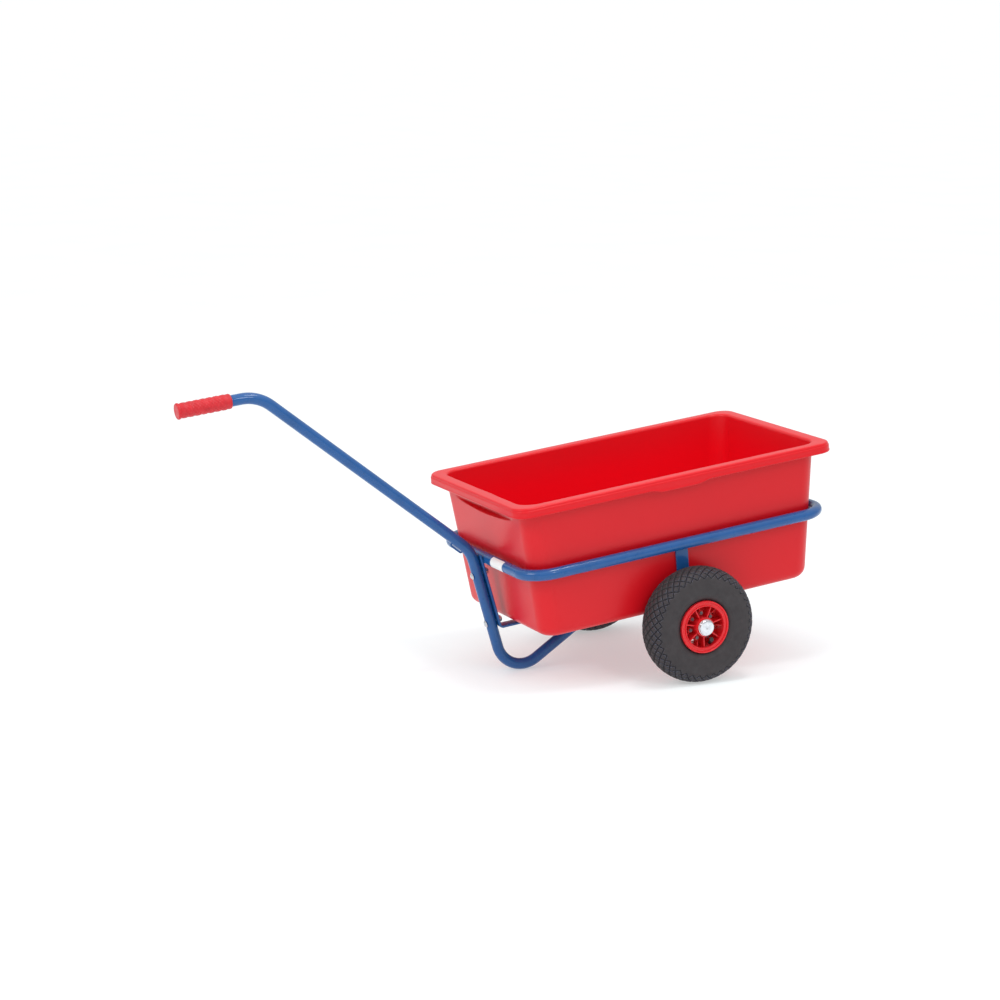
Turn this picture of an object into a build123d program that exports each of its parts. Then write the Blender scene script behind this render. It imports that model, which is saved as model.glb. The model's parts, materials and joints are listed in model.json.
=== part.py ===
from build123d import *

import os
from math import acos, atan2, cos, degrees, radians, sin, sqrt, tan

# A two-wheeled hand cart: a moulded tub held in a tube ring, a bent drawbar that is
# both handle and rear foot, and two pneumatic wheels. It stands parked, on its wheels
# and its foot. +X points to the front of the tub, away from the handle, and +Z is up.
# The origin is on the ground, in the middle of the cart's length and width.
# "Cart" heights and distances are measured from the axle's centre, square to the tub.

os.makedirs("parts", exist_ok=True)

# ---------------------------------------------------------------- driving dimensions
# Tub
tub_rim_rear = 396.0  # rim's rear edge behind the axle
tub_rim_front = 394.0  # rim's front edge in front of the axle
tub_rim_width = 494.0
tub_top = 336.0  # height of the rim above the axle
tub_bottom = 27.0  # height of the tub's underside above the axle
tub_wall = 4.0
rim_overhang = 25.5  # rim's edge outside the top of the wall
rim_thickness = 4.0
skirt_depth = 22.5
skirt_wall = 3.5
rim_corner_radius = 38.0
rim_edge_radius = 4.0
taper_rear = 26.0  # how far each wall leans in, over the tub's height
taper_front = 42.0
taper_side = 13.0
wall_corner_radius = 42.0
floor_edge_radius = 22.0
tab_half_length = 50.0  # deeper middle of the skirt on both long sides
tab_slope = 25.0
tab_depth = 6.5
scoop_half_width = 165.0  # finger scoop in the rear wall, which runs out at its ends
scoop_drop = 33.0  # below the skirt, at the scoop's middle
scoop_rise = 12.0  # ends of the scoop's lower edge above its middle
scoop_depth = 18.0
scoop_head = 8.5  # the scoop goes this far up behind the skirt
rib_count = 8  # ribs under the floor, which stand on the long strap
rib_thickness = 4.0
rib_length = 60.0
rib_margin = 60.0  # first and last rib from the ends of the underside

# Tubes and straps
tube_diameter = 25.0
tube_wall = 2.0
strap_width = 30.0
strap_thickness = 5.0
strap_bend_radius = 8.0
tub_clearance = 0.6  # between the tub's walls and the straps inside the ring
ring_height = 179.0
strap_rise = 6.0  # straps inside the ring end this far above its middle

# Drawbar
leg_lean = 9.6  # leg from the vertical, foot forwards
shaft_slope = 44.4
grip_height = 638.0
handle_run = 181.9  # from the corner of the handle bend to the grip's rear end
grip_length = 123.0
grip_wall = 4.0
grip_lip = 1.5  # rear flange above the rest of the grip
grip_lip_length = 6.0
grip_end_wall = 4.0
grip_edge_radius = 2.5
grip_waves = 7
wave_height = 1.3
knee_height = 203.0  # corner between shaft and leg
foot_corner_drop = 113.7  # corner of the foot bend below the axle
run_corner_place = 128.3  # corner where the run under the tub starts, behind the axle
handle_bend_radius = 92.0
knee_bend_radius = 85.0
foot_bend_radius = 63.0
run_bend_radius = 70.0
run_end = 40.0  # the run under the tub ends this far behind the axle
plug_length = 14.0
plug_wall = 2.5
plug_fit = 0.1
eye_rod = 4.0
eye_span = 36.0
eye_reach = 6.5  # outer side of the eye above the tube's surface
eye_place = 32.0  # middle of the eye above the knee, along the shaft
eye_bend_radius = 3.5

# Fasteners of the drawbar (M8, dome head)
bolt_diameter = 8.0
bolt_hole = 8.4
head_diameter = 16.0
head_height = 4.4
nut_across_flats = 13.0
nut_height = 6.5
washer_diameter = 16.0
washer_thickness = 1.6
leg_bolt_heights = (146.0, 31.0)
run_bolt_places = (11.5, 45.5)  # along the run, from the end of its bend
thread_beyond_nut = 2.0

# Wheels (260 mm tyre on a 4 inch two-part rim)
wheel_diameter = 260.0
tyre_width = 80.0
tyre_gap = 7.9  # between the tyre and the tub's wall
bead_seat_diameter = 101.6
bead_half_width = 28.0
flange_diameter = 118.0
flange_thickness = 5.0
barrel_wall = 4.0
hub_length = 75.0
hub_diameter = 43.0
bush_diameter = 28.0
bush_length = 30.0
bush_flange_diameter = 34.0
bush_flange = 2.5
web_thickness = 4.0
web_gap = 0.2
spoke_count = 7
spoke_thickness = 2.5
spoke_depth = 24.0
spoke_start = 170.0  # angle of the first spoke, seen from outside
rim_screw_circle = 57.2
screw_boss_diameter = 11.0
screw_boss_height = 17.0
screw_diameter = 4.0
screw_head_diameter = 7.5
screw_head_height = 2.6
screw_length = 28.0
window_inner = 35.5
window_outer = 44.0
window_length = 20.0
valve_offset = 10.0
valve_diameter = 8.0
valve_hole = 8.4
valve_cap_diameter = 9.5
valve_lean = 53.0  # stem from the radius, outwards
valve_length = 24.0
valve_cap_length = 9.0
tube_fit = 0.4
inner_tube_wall = 2.0
tread_thickness = 8.5
sidewall = 5.0
shoulder_drop = 8.0  # tyre's shoulder below its crown
shoulder_inset = 8.5  # and inside its widest place
bead_gap_half_width = 22.0
flange_edge_radius = 1.8
screw_clearance_hole = 4.4

# Axle
axle_diameter = 20.0
running_clearance = 0.05
side_play = 0.3
axle_washer_diameter = 34.0
axle_washer_thickness = 1.5
collar_diameter = 30.0
collar_length = 5.0
cap_diameter = 37.0
cap_height = 5.5
cap_wall = 1.0
cap_edge_radius = 1.8
axle_beyond_washer = 4.0

# ---------------------------------------------------------------- worked-out geometry
tube_radius = tube_diameter / 2
wheel_radius = wheel_diameter / 2
axle_radius = axle_diameter / 2
tub_height = tub_top - tub_bottom
wall_top_rear = tub_rim_rear - rim_overhang
wall_top_front = tub_rim_front - rim_overhang
wall_top_half_width = tub_rim_width / 2 - rim_overhang


def wall_lean(taper, height):
    """How far a wall has leaned in at a height, from its place at the rim."""
    return taper * (tub_top - height) / tub_height


def wall_rear(height):
    return wall_top_rear - wall_lean(taper_rear, height)


def wall_front(height):
    return wall_top_front - wall_lean(taper_front, height)


def wall_half_width(height):
    return wall_top_half_width - wall_lean(taper_side, height)


# The ring clears the tub by one strap and the clearance.
ring_gap = tub_clearance + strap_thickness + tube_radius
ring_rear = wall_rear(ring_height) + ring_gap
ring_front = wall_front(ring_height) + ring_gap
ring_half_width = wall_half_width(ring_height) + ring_gap
ring_corner_radius = wall_corner_radius + ring_gap

# The wheels clear the tub's walls at the height of their tops.
half_track = wall_half_width(wheel_radius) + tyre_gap + tyre_width / 2

# The cross strap lies on the axle, the long strap on the cross strap, the tub on that.
cross_run_height = axle_radius + strap_thickness / 2
long_run_height = cross_run_height + strap_thickness
strap_top = long_run_height + strap_thickness / 2
run_height = strap_top - strap_thickness - tube_radius

# Side view of the drawbar: x forwards and y up, from the axle's centre.
leg_down = Vector(sin(radians(leg_lean)), -cos(radians(leg_lean)))
leg_back = Vector(-cos(radians(leg_lean)), -sin(radians(leg_lean)))
ring_rear_point = Vector(-ring_rear, ring_height)
leg_point = ring_rear_point + leg_back * (tube_diameter + strap_thickness)
strap_point = ring_rear_point + leg_back * (tube_radius + strap_thickness / 2)


def on_leg(start, height):
    """The point at a height on the line through start that runs along the leg."""
    return start + leg_down * ((start.Y - height) / cos(radians(leg_lean)))


knee = on_leg(leg_point, knee_height)
foot_corner = on_leg(leg_point, -foot_corner_drop)
shaft_up = Vector(-cos(radians(shaft_slope)), sin(radians(shaft_slope)))
handle_corner = knee + shaft_up * ((grip_height - knee_height) / sin(radians(shaft_slope)))
run_corner = Vector(-run_corner_place, run_height)
foot_up = (run_corner - foot_corner).normalized()
foot_rise = atan2(foot_up.Y, foot_up.X)
run_start = run_corner.X + run_bend_radius * tan(foot_rise / 2)
grip_rear = handle_run - handle_corner.X
grip_radius = tube_radius + grip_wall
grip_lip_radius = grip_radius + grip_lip

# Parked, the cart tips back about its axle until the foot's bend meets the ground.
foot_half_angle = radians(180 - leg_down.get_angle(foot_up)) / 2
foot_centre = foot_corner + (foot_up - leg_down).normalized() * (
    foot_bend_radius / sin(foot_half_angle)
)
foot_reach = foot_bend_radius + tube_radius - wheel_radius
park_tilt = degrees(
    acos(foot_reach / foot_centre.length) - atan2(-foot_centre.X, foot_centre.Y)
)
tilt_cos = cos(radians(park_tilt))
tilt_sin = sin(radians(park_tilt))

# The axle's place along X, which puts the origin in the middle of the cart's length.
rim_reach = tub_rim_front * tilt_cos - (tub_top - skirt_depth) * tilt_sin
ring_reach = ring_front * tilt_cos - ring_height * tilt_sin + tube_radius
grip_reach = (
    (grip_rear - grip_edge_radius) * tilt_cos
    + (grip_height + grip_lip_radius - grip_edge_radius) * tilt_sin
    + grip_edge_radius
)
axle_x = (grip_reach - max(rim_reach, ring_reach)) / 2

cart = Plane(
    origin=(axle_x, 0, wheel_radius),
    x_dir=(tilt_cos, 0, tilt_sin),
    z_dir=(-tilt_sin, 0, tilt_cos),
)
side_view = Plane(origin=cart.origin, x_dir=cart.x_dir, z_dir=(0, -1, 0))
rear_view = Plane(origin=cart.origin, x_dir=(0, 1, 0), z_dir=cart.x_dir)
axle_line = Axis(origin=cart.origin, direction=(0, 1, 0))


def side_plane(point, forward, offset=0.0):
    """A plane at a side-view point, square to a side-view direction."""
    place = side_view.from_local_coords(Vector(point.X, point.Y, offset))
    normal = side_view.from_local_coords(Vector(point.X + forward.X, point.Y + forward.Y, offset))
    return Plane(origin=place, x_dir=(0, 1, 0), z_dir=normal - place)


# ---------------------------------------------------------------- tub
skirt_bottom = tub_top - skirt_depth
floor_top = tub_bottom + tub_wall
rim_underside = tub_top - rim_thickness
up_the_cart = Axis(cart.origin, cart.z_dir)


def wall_outline(height, inset):
    """Rounded rectangle of the tub's wall at a height, set in from its outer face."""
    rear = wall_rear(height) - inset
    front = wall_front(height) - inset
    with Locations(((front - rear) / 2, 0)):
        RectangleRounded(
            front + rear,
            2 * (wall_half_width(height) - inset),
            wall_corner_radius - inset,
        )


def rim_outline(inset, mode=Mode.ADD):
    """Rounded rectangle of the rim's outer edge, set in by a distance."""
    with Locations(((tub_rim_front - tub_rim_rear) / 2, 0)):
        RectangleRounded(
            tub_rim_front + tub_rim_rear - 2 * inset,
            tub_rim_width - 2 * inset,
            rim_corner_radius - inset,
            mode=mode,
        )


def arc_radius(half_chord, rise):
    return (half_chord**2 + rise**2) / (2 * rise)


def scoop_room(margin):
    """The finger scoop with a margin round it, from outside the wall inwards. Its back
    and its lower edge are shallow arcs, and its ends are straight."""
    low = skirt_bottom - scoop_drop - margin
    high = skirt_bottom + scoop_head + margin
    edge_radius = arc_radius(scoop_half_width, scoop_rise) + margin
    back_radius = arc_radius(scoop_half_width, scoop_depth) + margin
    back = wall_top_rear - scoop_depth - margin
    with BuildPart(mode=Mode.PRIVATE) as room:
        with BuildSketch(rear_view.offset(-wall_top_rear - tub_wall)):
            with Locations((0, low)):
                Rectangle(
                    2 * (scoop_half_width + margin),
                    high - low,
                    align=(Align.CENTER, Align.MIN),
                )
            with Locations((0, low + edge_radius)):
                Circle(edge_radius, mode=Mode.INTERSECT)
        extrude(amount=wall_top_rear + tub_wall - back)
        with BuildSketch(cart.offset(low)):
            with Locations((-back - back_radius, 0)):
                Circle(back_radius)
        extrude(amount=high - low, mode=Mode.INTERSECT)
    return room.part


# What the tub holds: its inside, less the back of the finger scoop.
with BuildPart() as hollow:
    with BuildSketch(cart.offset(floor_top)):
        wall_outline(floor_top, tub_wall)
    with BuildSketch(cart.offset(tub_top)):
        wall_outline(tub_top, tub_wall)
    loft()
    fillet(hollow.faces().sort_by(up_the_cart)[0].edges(), floor_edge_radius - tub_wall)
    add(scoop_room(tub_wall), mode=Mode.SUBTRACT)

with BuildPart() as tub:
    with BuildSketch(cart.offset(tub_bottom)):
        wall_outline(tub_bottom, 0)
    with BuildSketch(cart.offset(tub_top)):
        wall_outline(tub_top, 0)
    loft()
    fillet(tub.faces().sort_by(up_the_cart)[0].edges(), floor_edge_radius)
    # Finger scoop, cut from just outside the wall.
    add(scoop_room(0), mode=Mode.SUBTRACT)
    # Rim plate and the skirt that hangs from its edge.
    with BuildSketch(cart.offset(rim_underside)):
        rim_outline(0)
    extrude(amount=rim_thickness)
    with BuildSketch(cart.offset(skirt_bottom)):
        rim_outline(0)
        rim_outline(skirt_wall, mode=Mode.SUBTRACT)
    extrude(amount=skirt_depth)
    # Deeper skirt at the middle of both long sides.
    for side in (1, -1):
        with BuildSketch(side_view.offset(side * tub_rim_width / 2)):
            with BuildLine():
                Polyline(
                    (-tab_half_length - tab_slope, skirt_bottom),
                    (-tab_half_length, skirt_bottom - tab_depth),
                    (tab_half_length, skirt_bottom - tab_depth),
                    (tab_half_length + tab_slope, skirt_bottom),
                    (tab_half_length + tab_slope, skirt_bottom + skirt_wall),
                    (-tab_half_length - tab_slope, skirt_bottom + skirt_wall),
                    close=True,
                )
            make_face()
        extrude(amount=-side * skirt_wall)
    # Ribs under the floor, which stand on the long strap.
    rib_rear = wall_rear(tub_bottom) - rib_margin
    rib_front = wall_front(tub_bottom) - rib_margin
    rib_pitch = (rib_front + rib_rear) / (rib_count - 1)
    with BuildSketch(cart.offset(strap_top)):
        with Locations(((rib_front - rib_rear) / 2, 0)):
            with GridLocations(rib_pitch, 0, rib_count, 1):
                Rectangle(rib_thickness, rib_length)
    extrude(amount=tub_bottom - strap_top + tub_wall / 2)
    add(hollow.part, mode=Mode.SUBTRACT)
    rim_face = tub.faces().sort_by(up_the_cart)[-1]
    fillet(rim_face.outer_wire().edges(), rim_edge_radius)
tub.part.label = "tub"
export_step(tub.part, "parts/tub.step")


# ---------------------------------------------------------------- ring and straps
def tube_section():
    Circle(tube_radius)
    Circle(tube_radius - tube_wall, mode=Mode.SUBTRACT)


def start_plane(line):
    """The plane square to the start of a line."""
    return Plane(origin=line @ 0, z_dir=line % 0)


with BuildPart() as frame_ring:
    with BuildLine(cart.offset(ring_height)) as ring_line:
        FilletPolyline(
            (ring_front, -ring_half_width),
            (ring_front, ring_half_width),
            (-ring_rear, ring_half_width),
            (-ring_rear, -ring_half_width),
            radius=ring_corner_radius,
            close=True,
        )
    with BuildSketch(start_plane(ring_line.line)):
        tube_section()
    sweep()
frame_ring.part.label = "frame_ring"
export_step(frame_ring.part, "parts/frame_ring.step")

front_lean = atan2(taper_front, tub_height)
side_lean = atan2(taper_side, tub_height)
ring_to_strap = tube_radius + strap_thickness / 2


def inner_strap_line(ring_place, lean, run):
    """Top and foot of a strap that touches the ring's inner side, and leans with the wall."""
    middle = Vector(ring_place - ring_to_strap * cos(lean), ring_height + ring_to_strap * sin(lean))
    top = middle + Vector(sin(lean), cos(lean)) * strap_rise
    foot = middle - Vector(tan(lean), 1) * (middle.Y - run)
    return top, foot


long_front_top, long_front_foot = inner_strap_line(ring_front, front_lean, long_run_height)
cross_top, cross_foot = inner_strap_line(ring_half_width, side_lean, cross_run_height)
long_rear_top = on_leg(strap_point, ring_height + tube_radius)
long_rear_foot = on_leg(strap_point, long_run_height)

leg_bolt_points = [on_leg(leg_point, height) for height in leg_bolt_heights]
run_bolt_points = [Vector(run_start + place, run_height) for place in run_bolt_places]
run_up = Vector(0, 1)
bolt_planes = [side_plane(point, leg_back) for point in leg_bolt_points]
bolt_planes += [side_plane(point, run_up) for point in run_bolt_points]


with BuildPart() as long_strap:
    with BuildSketch(side_view):
        with BuildLine():
            FilletPolyline(
                long_rear_top,
                long_rear_foot,
                long_front_foot,
                long_front_top,
                radius=strap_bend_radius,
            )
        trace(line_width=strap_thickness)
    extrude(amount=strap_width / 2, both=True)
    for plane in bolt_planes:
        with BuildSketch(plane):
            Circle(bolt_hole / 2)
        extrude(amount=tube_diameter, both=True, mode=Mode.SUBTRACT)
long_strap.part.label = "long_strap"
export_step(long_strap.part, "parts/long_strap.step")

with BuildPart() as cross_strap:
    with BuildSketch(rear_view):
        with BuildLine():
            FilletPolyline(
                cross_top,
                cross_foot,
                (-cross_foot.X, cross_foot.Y),
                (-cross_top.X, cross_top.Y),
                radius=strap_bend_radius,
            )
        trace(line_width=strap_thickness)
    extrude(amount=strap_width / 2, both=True)
cross_strap.part.label = "cross_strap"
export_step(cross_strap.part, "parts/cross_strap.step")

# ---------------------------------------------------------------- drawbar
with BuildPart() as drawbar:
    with BuildLine(side_view) as drawbar_line:
        FilletPolyline(
            (-grip_rear + grip_end_wall, grip_height),
            (handle_corner.X, handle_corner.Y),
            (knee.X, knee.Y),
            (foot_corner.X, foot_corner.Y),
            (run_corner.X, run_corner.Y),
            (-run_end, run_height),
            radius=[handle_bend_radius, knee_bend_radius, foot_bend_radius, run_bend_radius],
        )
    with BuildSketch(start_plane(drawbar_line.line)):
        tube_section()
    sweep()
    for plane in bolt_planes:
        with BuildSketch(plane):
            Circle(bolt_hole / 2)
        extrude(amount=tube_diameter, both=True, mode=Mode.SUBTRACT)
drawbar.part.label = "drawbar"
export_step(drawbar.part, "parts/drawbar.step")

run_axis = Axis(side_view.from_local_coords((0, run_height)), cart.x_dir)
with BuildPart() as drawbar_end_plug:
    with BuildSketch(side_view):
        with BuildLine():
            Polyline(
                (-run_end - plug_length, run_height),
                (-run_end - plug_length, run_height + tube_radius - tube_wall - plug_fit),
                (-run_end, run_height + tube_radius - tube_wall - plug_fit),
                (-run_end, run_height + tube_radius),
                (-run_end + plug_wall, run_height + tube_radius),
                (-run_end + plug_wall, run_height),
                close=True,
            )
        make_face()
    revolve(axis=run_axis)
    fillet(drawbar_end_plug.faces().sort_by(run_axis)[-1].edges(), plug_wall / 2)
drawbar_end_plug.part.label = "drawbar_end_plug"
export_step(drawbar_end_plug.part, "parts/drawbar_end_plug.step")

grip_axis = Axis(side_view.from_local_coords((0, grip_height)), cart.x_dir)
grip_front = grip_length - grip_rear
wave_start = grip_lip_length - grip_rear
wave_length = (grip_front - wave_start - grip_lip_length) / grip_waves
grip_low = grip_height + grip_radius - wave_height
grip_top = grip_height + grip_lip_radius
with BuildPart() as hand_grip:
    with BuildSketch(side_view):
        with BuildLine():
            Polyline(
                (wave_start, grip_low),
                (wave_start, grip_top),
                (-grip_rear, grip_top),
                (-grip_rear, grip_height),
                (-grip_rear + grip_end_wall, grip_height),
                (-grip_rear + grip_end_wall, grip_height + tube_radius),
                (grip_front, grip_height + tube_radius),
                (grip_front, grip_low),
                (grip_front - grip_lip_length, grip_low),
            )
            for wave in range(grip_waves):
                start = wave_start + wave * wave_length
                ThreePointArc(
                    (start, grip_low),
                    (start + wave_length / 2, grip_low + wave_height),
                    (start + wave_length, grip_low),
                )
        make_face()
    revolve(axis=grip_axis)
    fillet(hand_grip.faces().sort_by(grip_axis)[0].edges(), grip_edge_radius)
hand_grip.part.label = "hand_grip"
export_step(hand_grip.part, "parts/hand_grip.step")

# Wire eye across the inside of the knee. Its ends are shaped to the tube they sit on.
under_shaft = Vector(-shaft_up.Y, shaft_up.X)
eye_rod_centre = tube_radius + eye_reach - eye_rod / 2
eye_depth = tube_radius - tube_wall / 2


def eye_point(along, out):
    """A point under the shaft: along it from the knee, and out from its centre line."""
    point = knee + shaft_up * along + under_shaft * out
    return (point.X, point.Y)


eye_top = eye_place + eye_span / 2 - eye_rod / 2
eye_foot = eye_place - eye_span / 2 + eye_rod / 2
with BuildPart() as wire_eye:
    with BuildLine(side_view) as eye_line:
        FilletPolyline(
            eye_point(eye_top, eye_depth),
            eye_point(eye_top, eye_rod_centre),
            eye_point(eye_foot, eye_rod_centre),
            eye_point(eye_foot, eye_depth),
            radius=eye_bend_radius,
        )
    with BuildSketch(start_plane(eye_line.line)):
        Circle(eye_rod / 2)
    sweep()
    with BuildSketch(start_plane(drawbar_line.line)):
        Circle(tube_radius)
    sweep(path=drawbar_line.line, mode=Mode.SUBTRACT)
wire_eye.part.label = "wire_eye"
export_step(wire_eye.part, "parts/wire_eye.step")


# ---------------------------------------------------------------- bolts of the drawbar
dome_radius = ((head_diameter / 2) ** 2 + head_height**2) / (2 * head_height)
nut_stack = washer_thickness + nut_height + thread_beyond_nut
bolt_length = tube_diameter + strap_thickness + nut_stack


def dome_bolts(planes, seat):
    """Dome-head bolts whose heads sit at a distance above the planes."""
    with BuildPart() as bolts:
        for plane in planes:
            with BuildSketch(plane.offset(seat)):
                Circle(bolt_diameter / 2)
            extrude(amount=-bolt_length)
            top = plane.offset(seat)
            with BuildSketch(Plane(top.origin, x_dir=top.x_dir, z_dir=-top.y_dir)):
                with Locations((0, head_height - dome_radius)):
                    Circle(dome_radius)
                with Locations((0, 0)):
                    Rectangle(
                        head_diameter / 2,
                        head_height,
                        align=(Align.MIN, Align.MIN),
                        mode=Mode.INTERSECT,
                    )
            revolve(axis=Axis(top.origin, top.z_dir))
    return bolts


def washers(planes, seat):
    """Washers whose upper faces are at a distance above the planes."""
    with BuildPart() as rings:
        for plane in planes:
            with BuildSketch(plane.offset(seat)):
                Circle(washer_diameter / 2)
                Circle(bolt_hole / 2, mode=Mode.SUBTRACT)
            extrude(amount=-washer_thickness)
    return rings


def hex_nuts(planes, seat):
    """Nuts whose upper faces are at a distance above the planes."""
    with BuildPart() as nuts:
        for plane in planes:
            with BuildSketch(plane.offset(seat)):
                RegularPolygon(nut_across_flats / 2, 6, major_radius=False)
                Circle(bolt_diameter / 2, mode=Mode.SUBTRACT)
            extrude(amount=-nut_height)
    return nuts


leg_planes = bolt_planes[: len(leg_bolt_points)]
run_planes = bolt_planes[len(leg_bolt_points) :]
leg_washer_seat = -tube_radius - strap_thickness
run_head_seat = tube_radius + strap_thickness

leg_bolts = dome_bolts(leg_planes, tube_radius)
leg_bolts.part.label = "leg_bolts"
export_step(leg_bolts.part, "parts/leg_bolts.step")

leg_washers = washers(leg_planes, leg_washer_seat)
leg_washers.part.label = "leg_washers"
export_step(leg_washers.part, "parts/leg_washers.step")

leg_nuts = hex_nuts(leg_planes, leg_washer_seat - washer_thickness)
leg_nuts.part.label = "leg_nuts"
export_step(leg_nuts.part, "parts/leg_nuts.step")

run_bolts = dome_bolts(run_planes, run_head_seat)
run_bolts.part.label = "run_bolts"
export_step(run_bolts.part, "parts/run_bolts.step")

run_washers = washers(run_planes, -tube_radius)
run_washers.part.label = "run_washers"
export_step(run_washers.part, "parts/run_washers.step")

run_nuts = hex_nuts(run_planes, -tube_radius - washer_thickness)
run_nuts.part.label = "run_nuts"
export_step(run_nuts.part, "parts/run_nuts.step")

# ---------------------------------------------------------------- axle
half_hub = hub_length / 2
washer_inner_face = half_hub + side_play
washer_outer_face = washer_inner_face + axle_washer_thickness
axle_half_length = half_track + washer_outer_face + axle_beyond_washer


def across(distance, side):
    """Plane square to the axle at a distance from the cart's middle, facing outwards."""
    place = cart.origin + Vector(0, side * distance, 0)
    return Plane(origin=place, x_dir=(-side, 0, 0), z_dir=(0, side, 0))


with BuildPart() as axle:
    with BuildSketch(across(0, 1)):
        Circle(axle_radius)
    extrude(amount=axle_half_length, both=True)
axle.part.label = "axle"
export_step(axle.part, "parts/axle.step")

with BuildPart() as axle_collars:
    for side in (1, -1):
        with BuildSketch(across(half_track - washer_outer_face, side)):
            Circle(collar_diameter / 2)
            Circle(axle_radius, mode=Mode.SUBTRACT)
        extrude(amount=-collar_length)
axle_collars.part.label = "axle_collars"
export_step(axle_collars.part, "parts/axle_collars.step")

with BuildPart() as axle_washers:
    for side in (1, -1):
        for inner_face in (half_track + washer_inner_face, half_track - washer_outer_face):
            with BuildSketch(across(inner_face, side)):
                Circle(axle_washer_diameter / 2)
                Circle(axle_radius + running_clearance, mode=Mode.SUBTRACT)
            extrude(amount=axle_washer_thickness)
axle_washers.part.label = "axle_washers"
export_step(axle_washers.part, "parts/axle_washers.step")

with BuildPart() as hub_caps:
    for side in (1, -1):
        cap_seat = half_track + washer_outer_face
        with BuildSketch(across(cap_seat, side)):
            Circle(cap_diameter / 2)
        extrude(amount=cap_height)
        outer_face = hub_caps.faces().sort_by(axle_line)[-1 if side == 1 else 0]
        fillet(outer_face.edges(), cap_edge_radius)
        with BuildSketch(across(cap_seat + cap_wall, side)):
            Circle(cap_diameter / 2 - cap_wall)
        extrude(amount=cap_height - 2 * cap_wall, mode=Mode.SUBTRACT)
        with BuildSketch(across(cap_seat, side)):
            Circle(axle_radius)
        extrude(amount=cap_wall, mode=Mode.SUBTRACT)
hub_caps.part.label = "hub_caps"
export_step(hub_caps.part, "parts/hub_caps.step")

# ---------------------------------------------------------------- wheels
bead_radius = bead_seat_diameter / 2
flange_radius = flange_diameter / 2
barrel_radius = bead_radius - barrel_wall
hub_radius = hub_diameter / 2
bush_radius = bush_diameter / 2
hub_face = half_hub - bush_flange
flange_face = bead_half_width + flange_thickness
half_tyre = tyre_width / 2
shoulder_radius = wheel_radius - shoulder_drop
shoulder_half_width = half_tyre - shoulder_inset
widest_radius = (bead_radius + wheel_radius) / 2
web_face = web_gap / 2 + web_thickness
sector = 360 / spoke_count
screw_start = spoke_start + sector / 2
screw_seat = web_gap / 2 + screw_boss_height
screw_tip = screw_seat - screw_length
inner_tube_radius = (wheel_radius - tread_thickness + bead_radius) / 2
inner_tube_height = (wheel_radius - tread_thickness - bead_radius) / 2 - tube_fit
inner_tube_half_width = half_tyre - sidewall - tube_fit

# The valve's foot stands on the inner tube, whose section is an ellipse.
valve_angle = radians(spoke_start + 2.5 * sector)
valve_foot_radius = inner_tube_radius - inner_tube_height * sqrt(
    1 - (valve_offset / inner_tube_half_width) ** 2
)


def wheel_section(side):
    """Plane through the axle line: x outwards from the wheel's middle, y its radius."""
    place = cart.origin + Vector(0, side * half_track, 0)
    return Plane(origin=place, x_dir=(0, side, 0), z_dir=(side, 0, 0))


def valve_plane(side, distance):
    """Plane square to the valve, facing out of the wheel, at a distance from its foot."""
    radial = Vector(-side * cos(valve_angle), 0, sin(valve_angle))
    outwards = Vector(0, side, 0)
    stem = outwards * sin(radians(valve_lean)) - radial * cos(radians(valve_lean))
    foot = cart.origin + outwards * (half_track + valve_offset) + radial * valve_foot_radius
    return Plane(origin=foot + stem * distance, z_dir=stem)


def make_tyre(side):
    with BuildPart() as tyre:
        with BuildSketch(wheel_section(side)):
            with BuildLine():
                ThreePointArc(
                    (-shoulder_half_width, shoulder_radius),
                    (0, wheel_radius),
                    (shoulder_half_width, shoulder_radius),
                )
                for hand in (1, -1):
                    ThreePointArc(
                        (hand * shoulder_half_width, shoulder_radius),
                        (hand * half_tyre, widest_radius),
                        (hand * bead_half_width, flange_radius),
                    )
                    Line((hand * bead_half_width, flange_radius), (hand * bead_half_width, bead_radius))
                Line((-bead_half_width, bead_radius), (bead_half_width, bead_radius))
            make_face()
            with Locations((0, inner_tube_radius)):
                Ellipse(
                    inner_tube_half_width + tube_fit,
                    inner_tube_height + tube_fit,
                    mode=Mode.SUBTRACT,
                )
            Rectangle(
                2 * bead_gap_half_width,
                2 * inner_tube_radius,
                mode=Mode.SUBTRACT,
            )
        revolve(axis=axle_line)
    return tyre


def make_ring(side, inset):
    """The space that the inner tube fills, set in from its skin."""
    with BuildPart() as ring:
        with BuildSketch(wheel_section(side)):
            with Locations((0, inner_tube_radius)):
                Ellipse(inner_tube_half_width - inset, inner_tube_height - inset)
        revolve(axis=axle_line)
    return ring


def make_inner_tube(side):
    with BuildPart() as tube:
        add(make_ring(side, 0).part)
        add(make_ring(side, inner_tube_wall).part, mode=Mode.SUBTRACT)
    return tube


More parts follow.
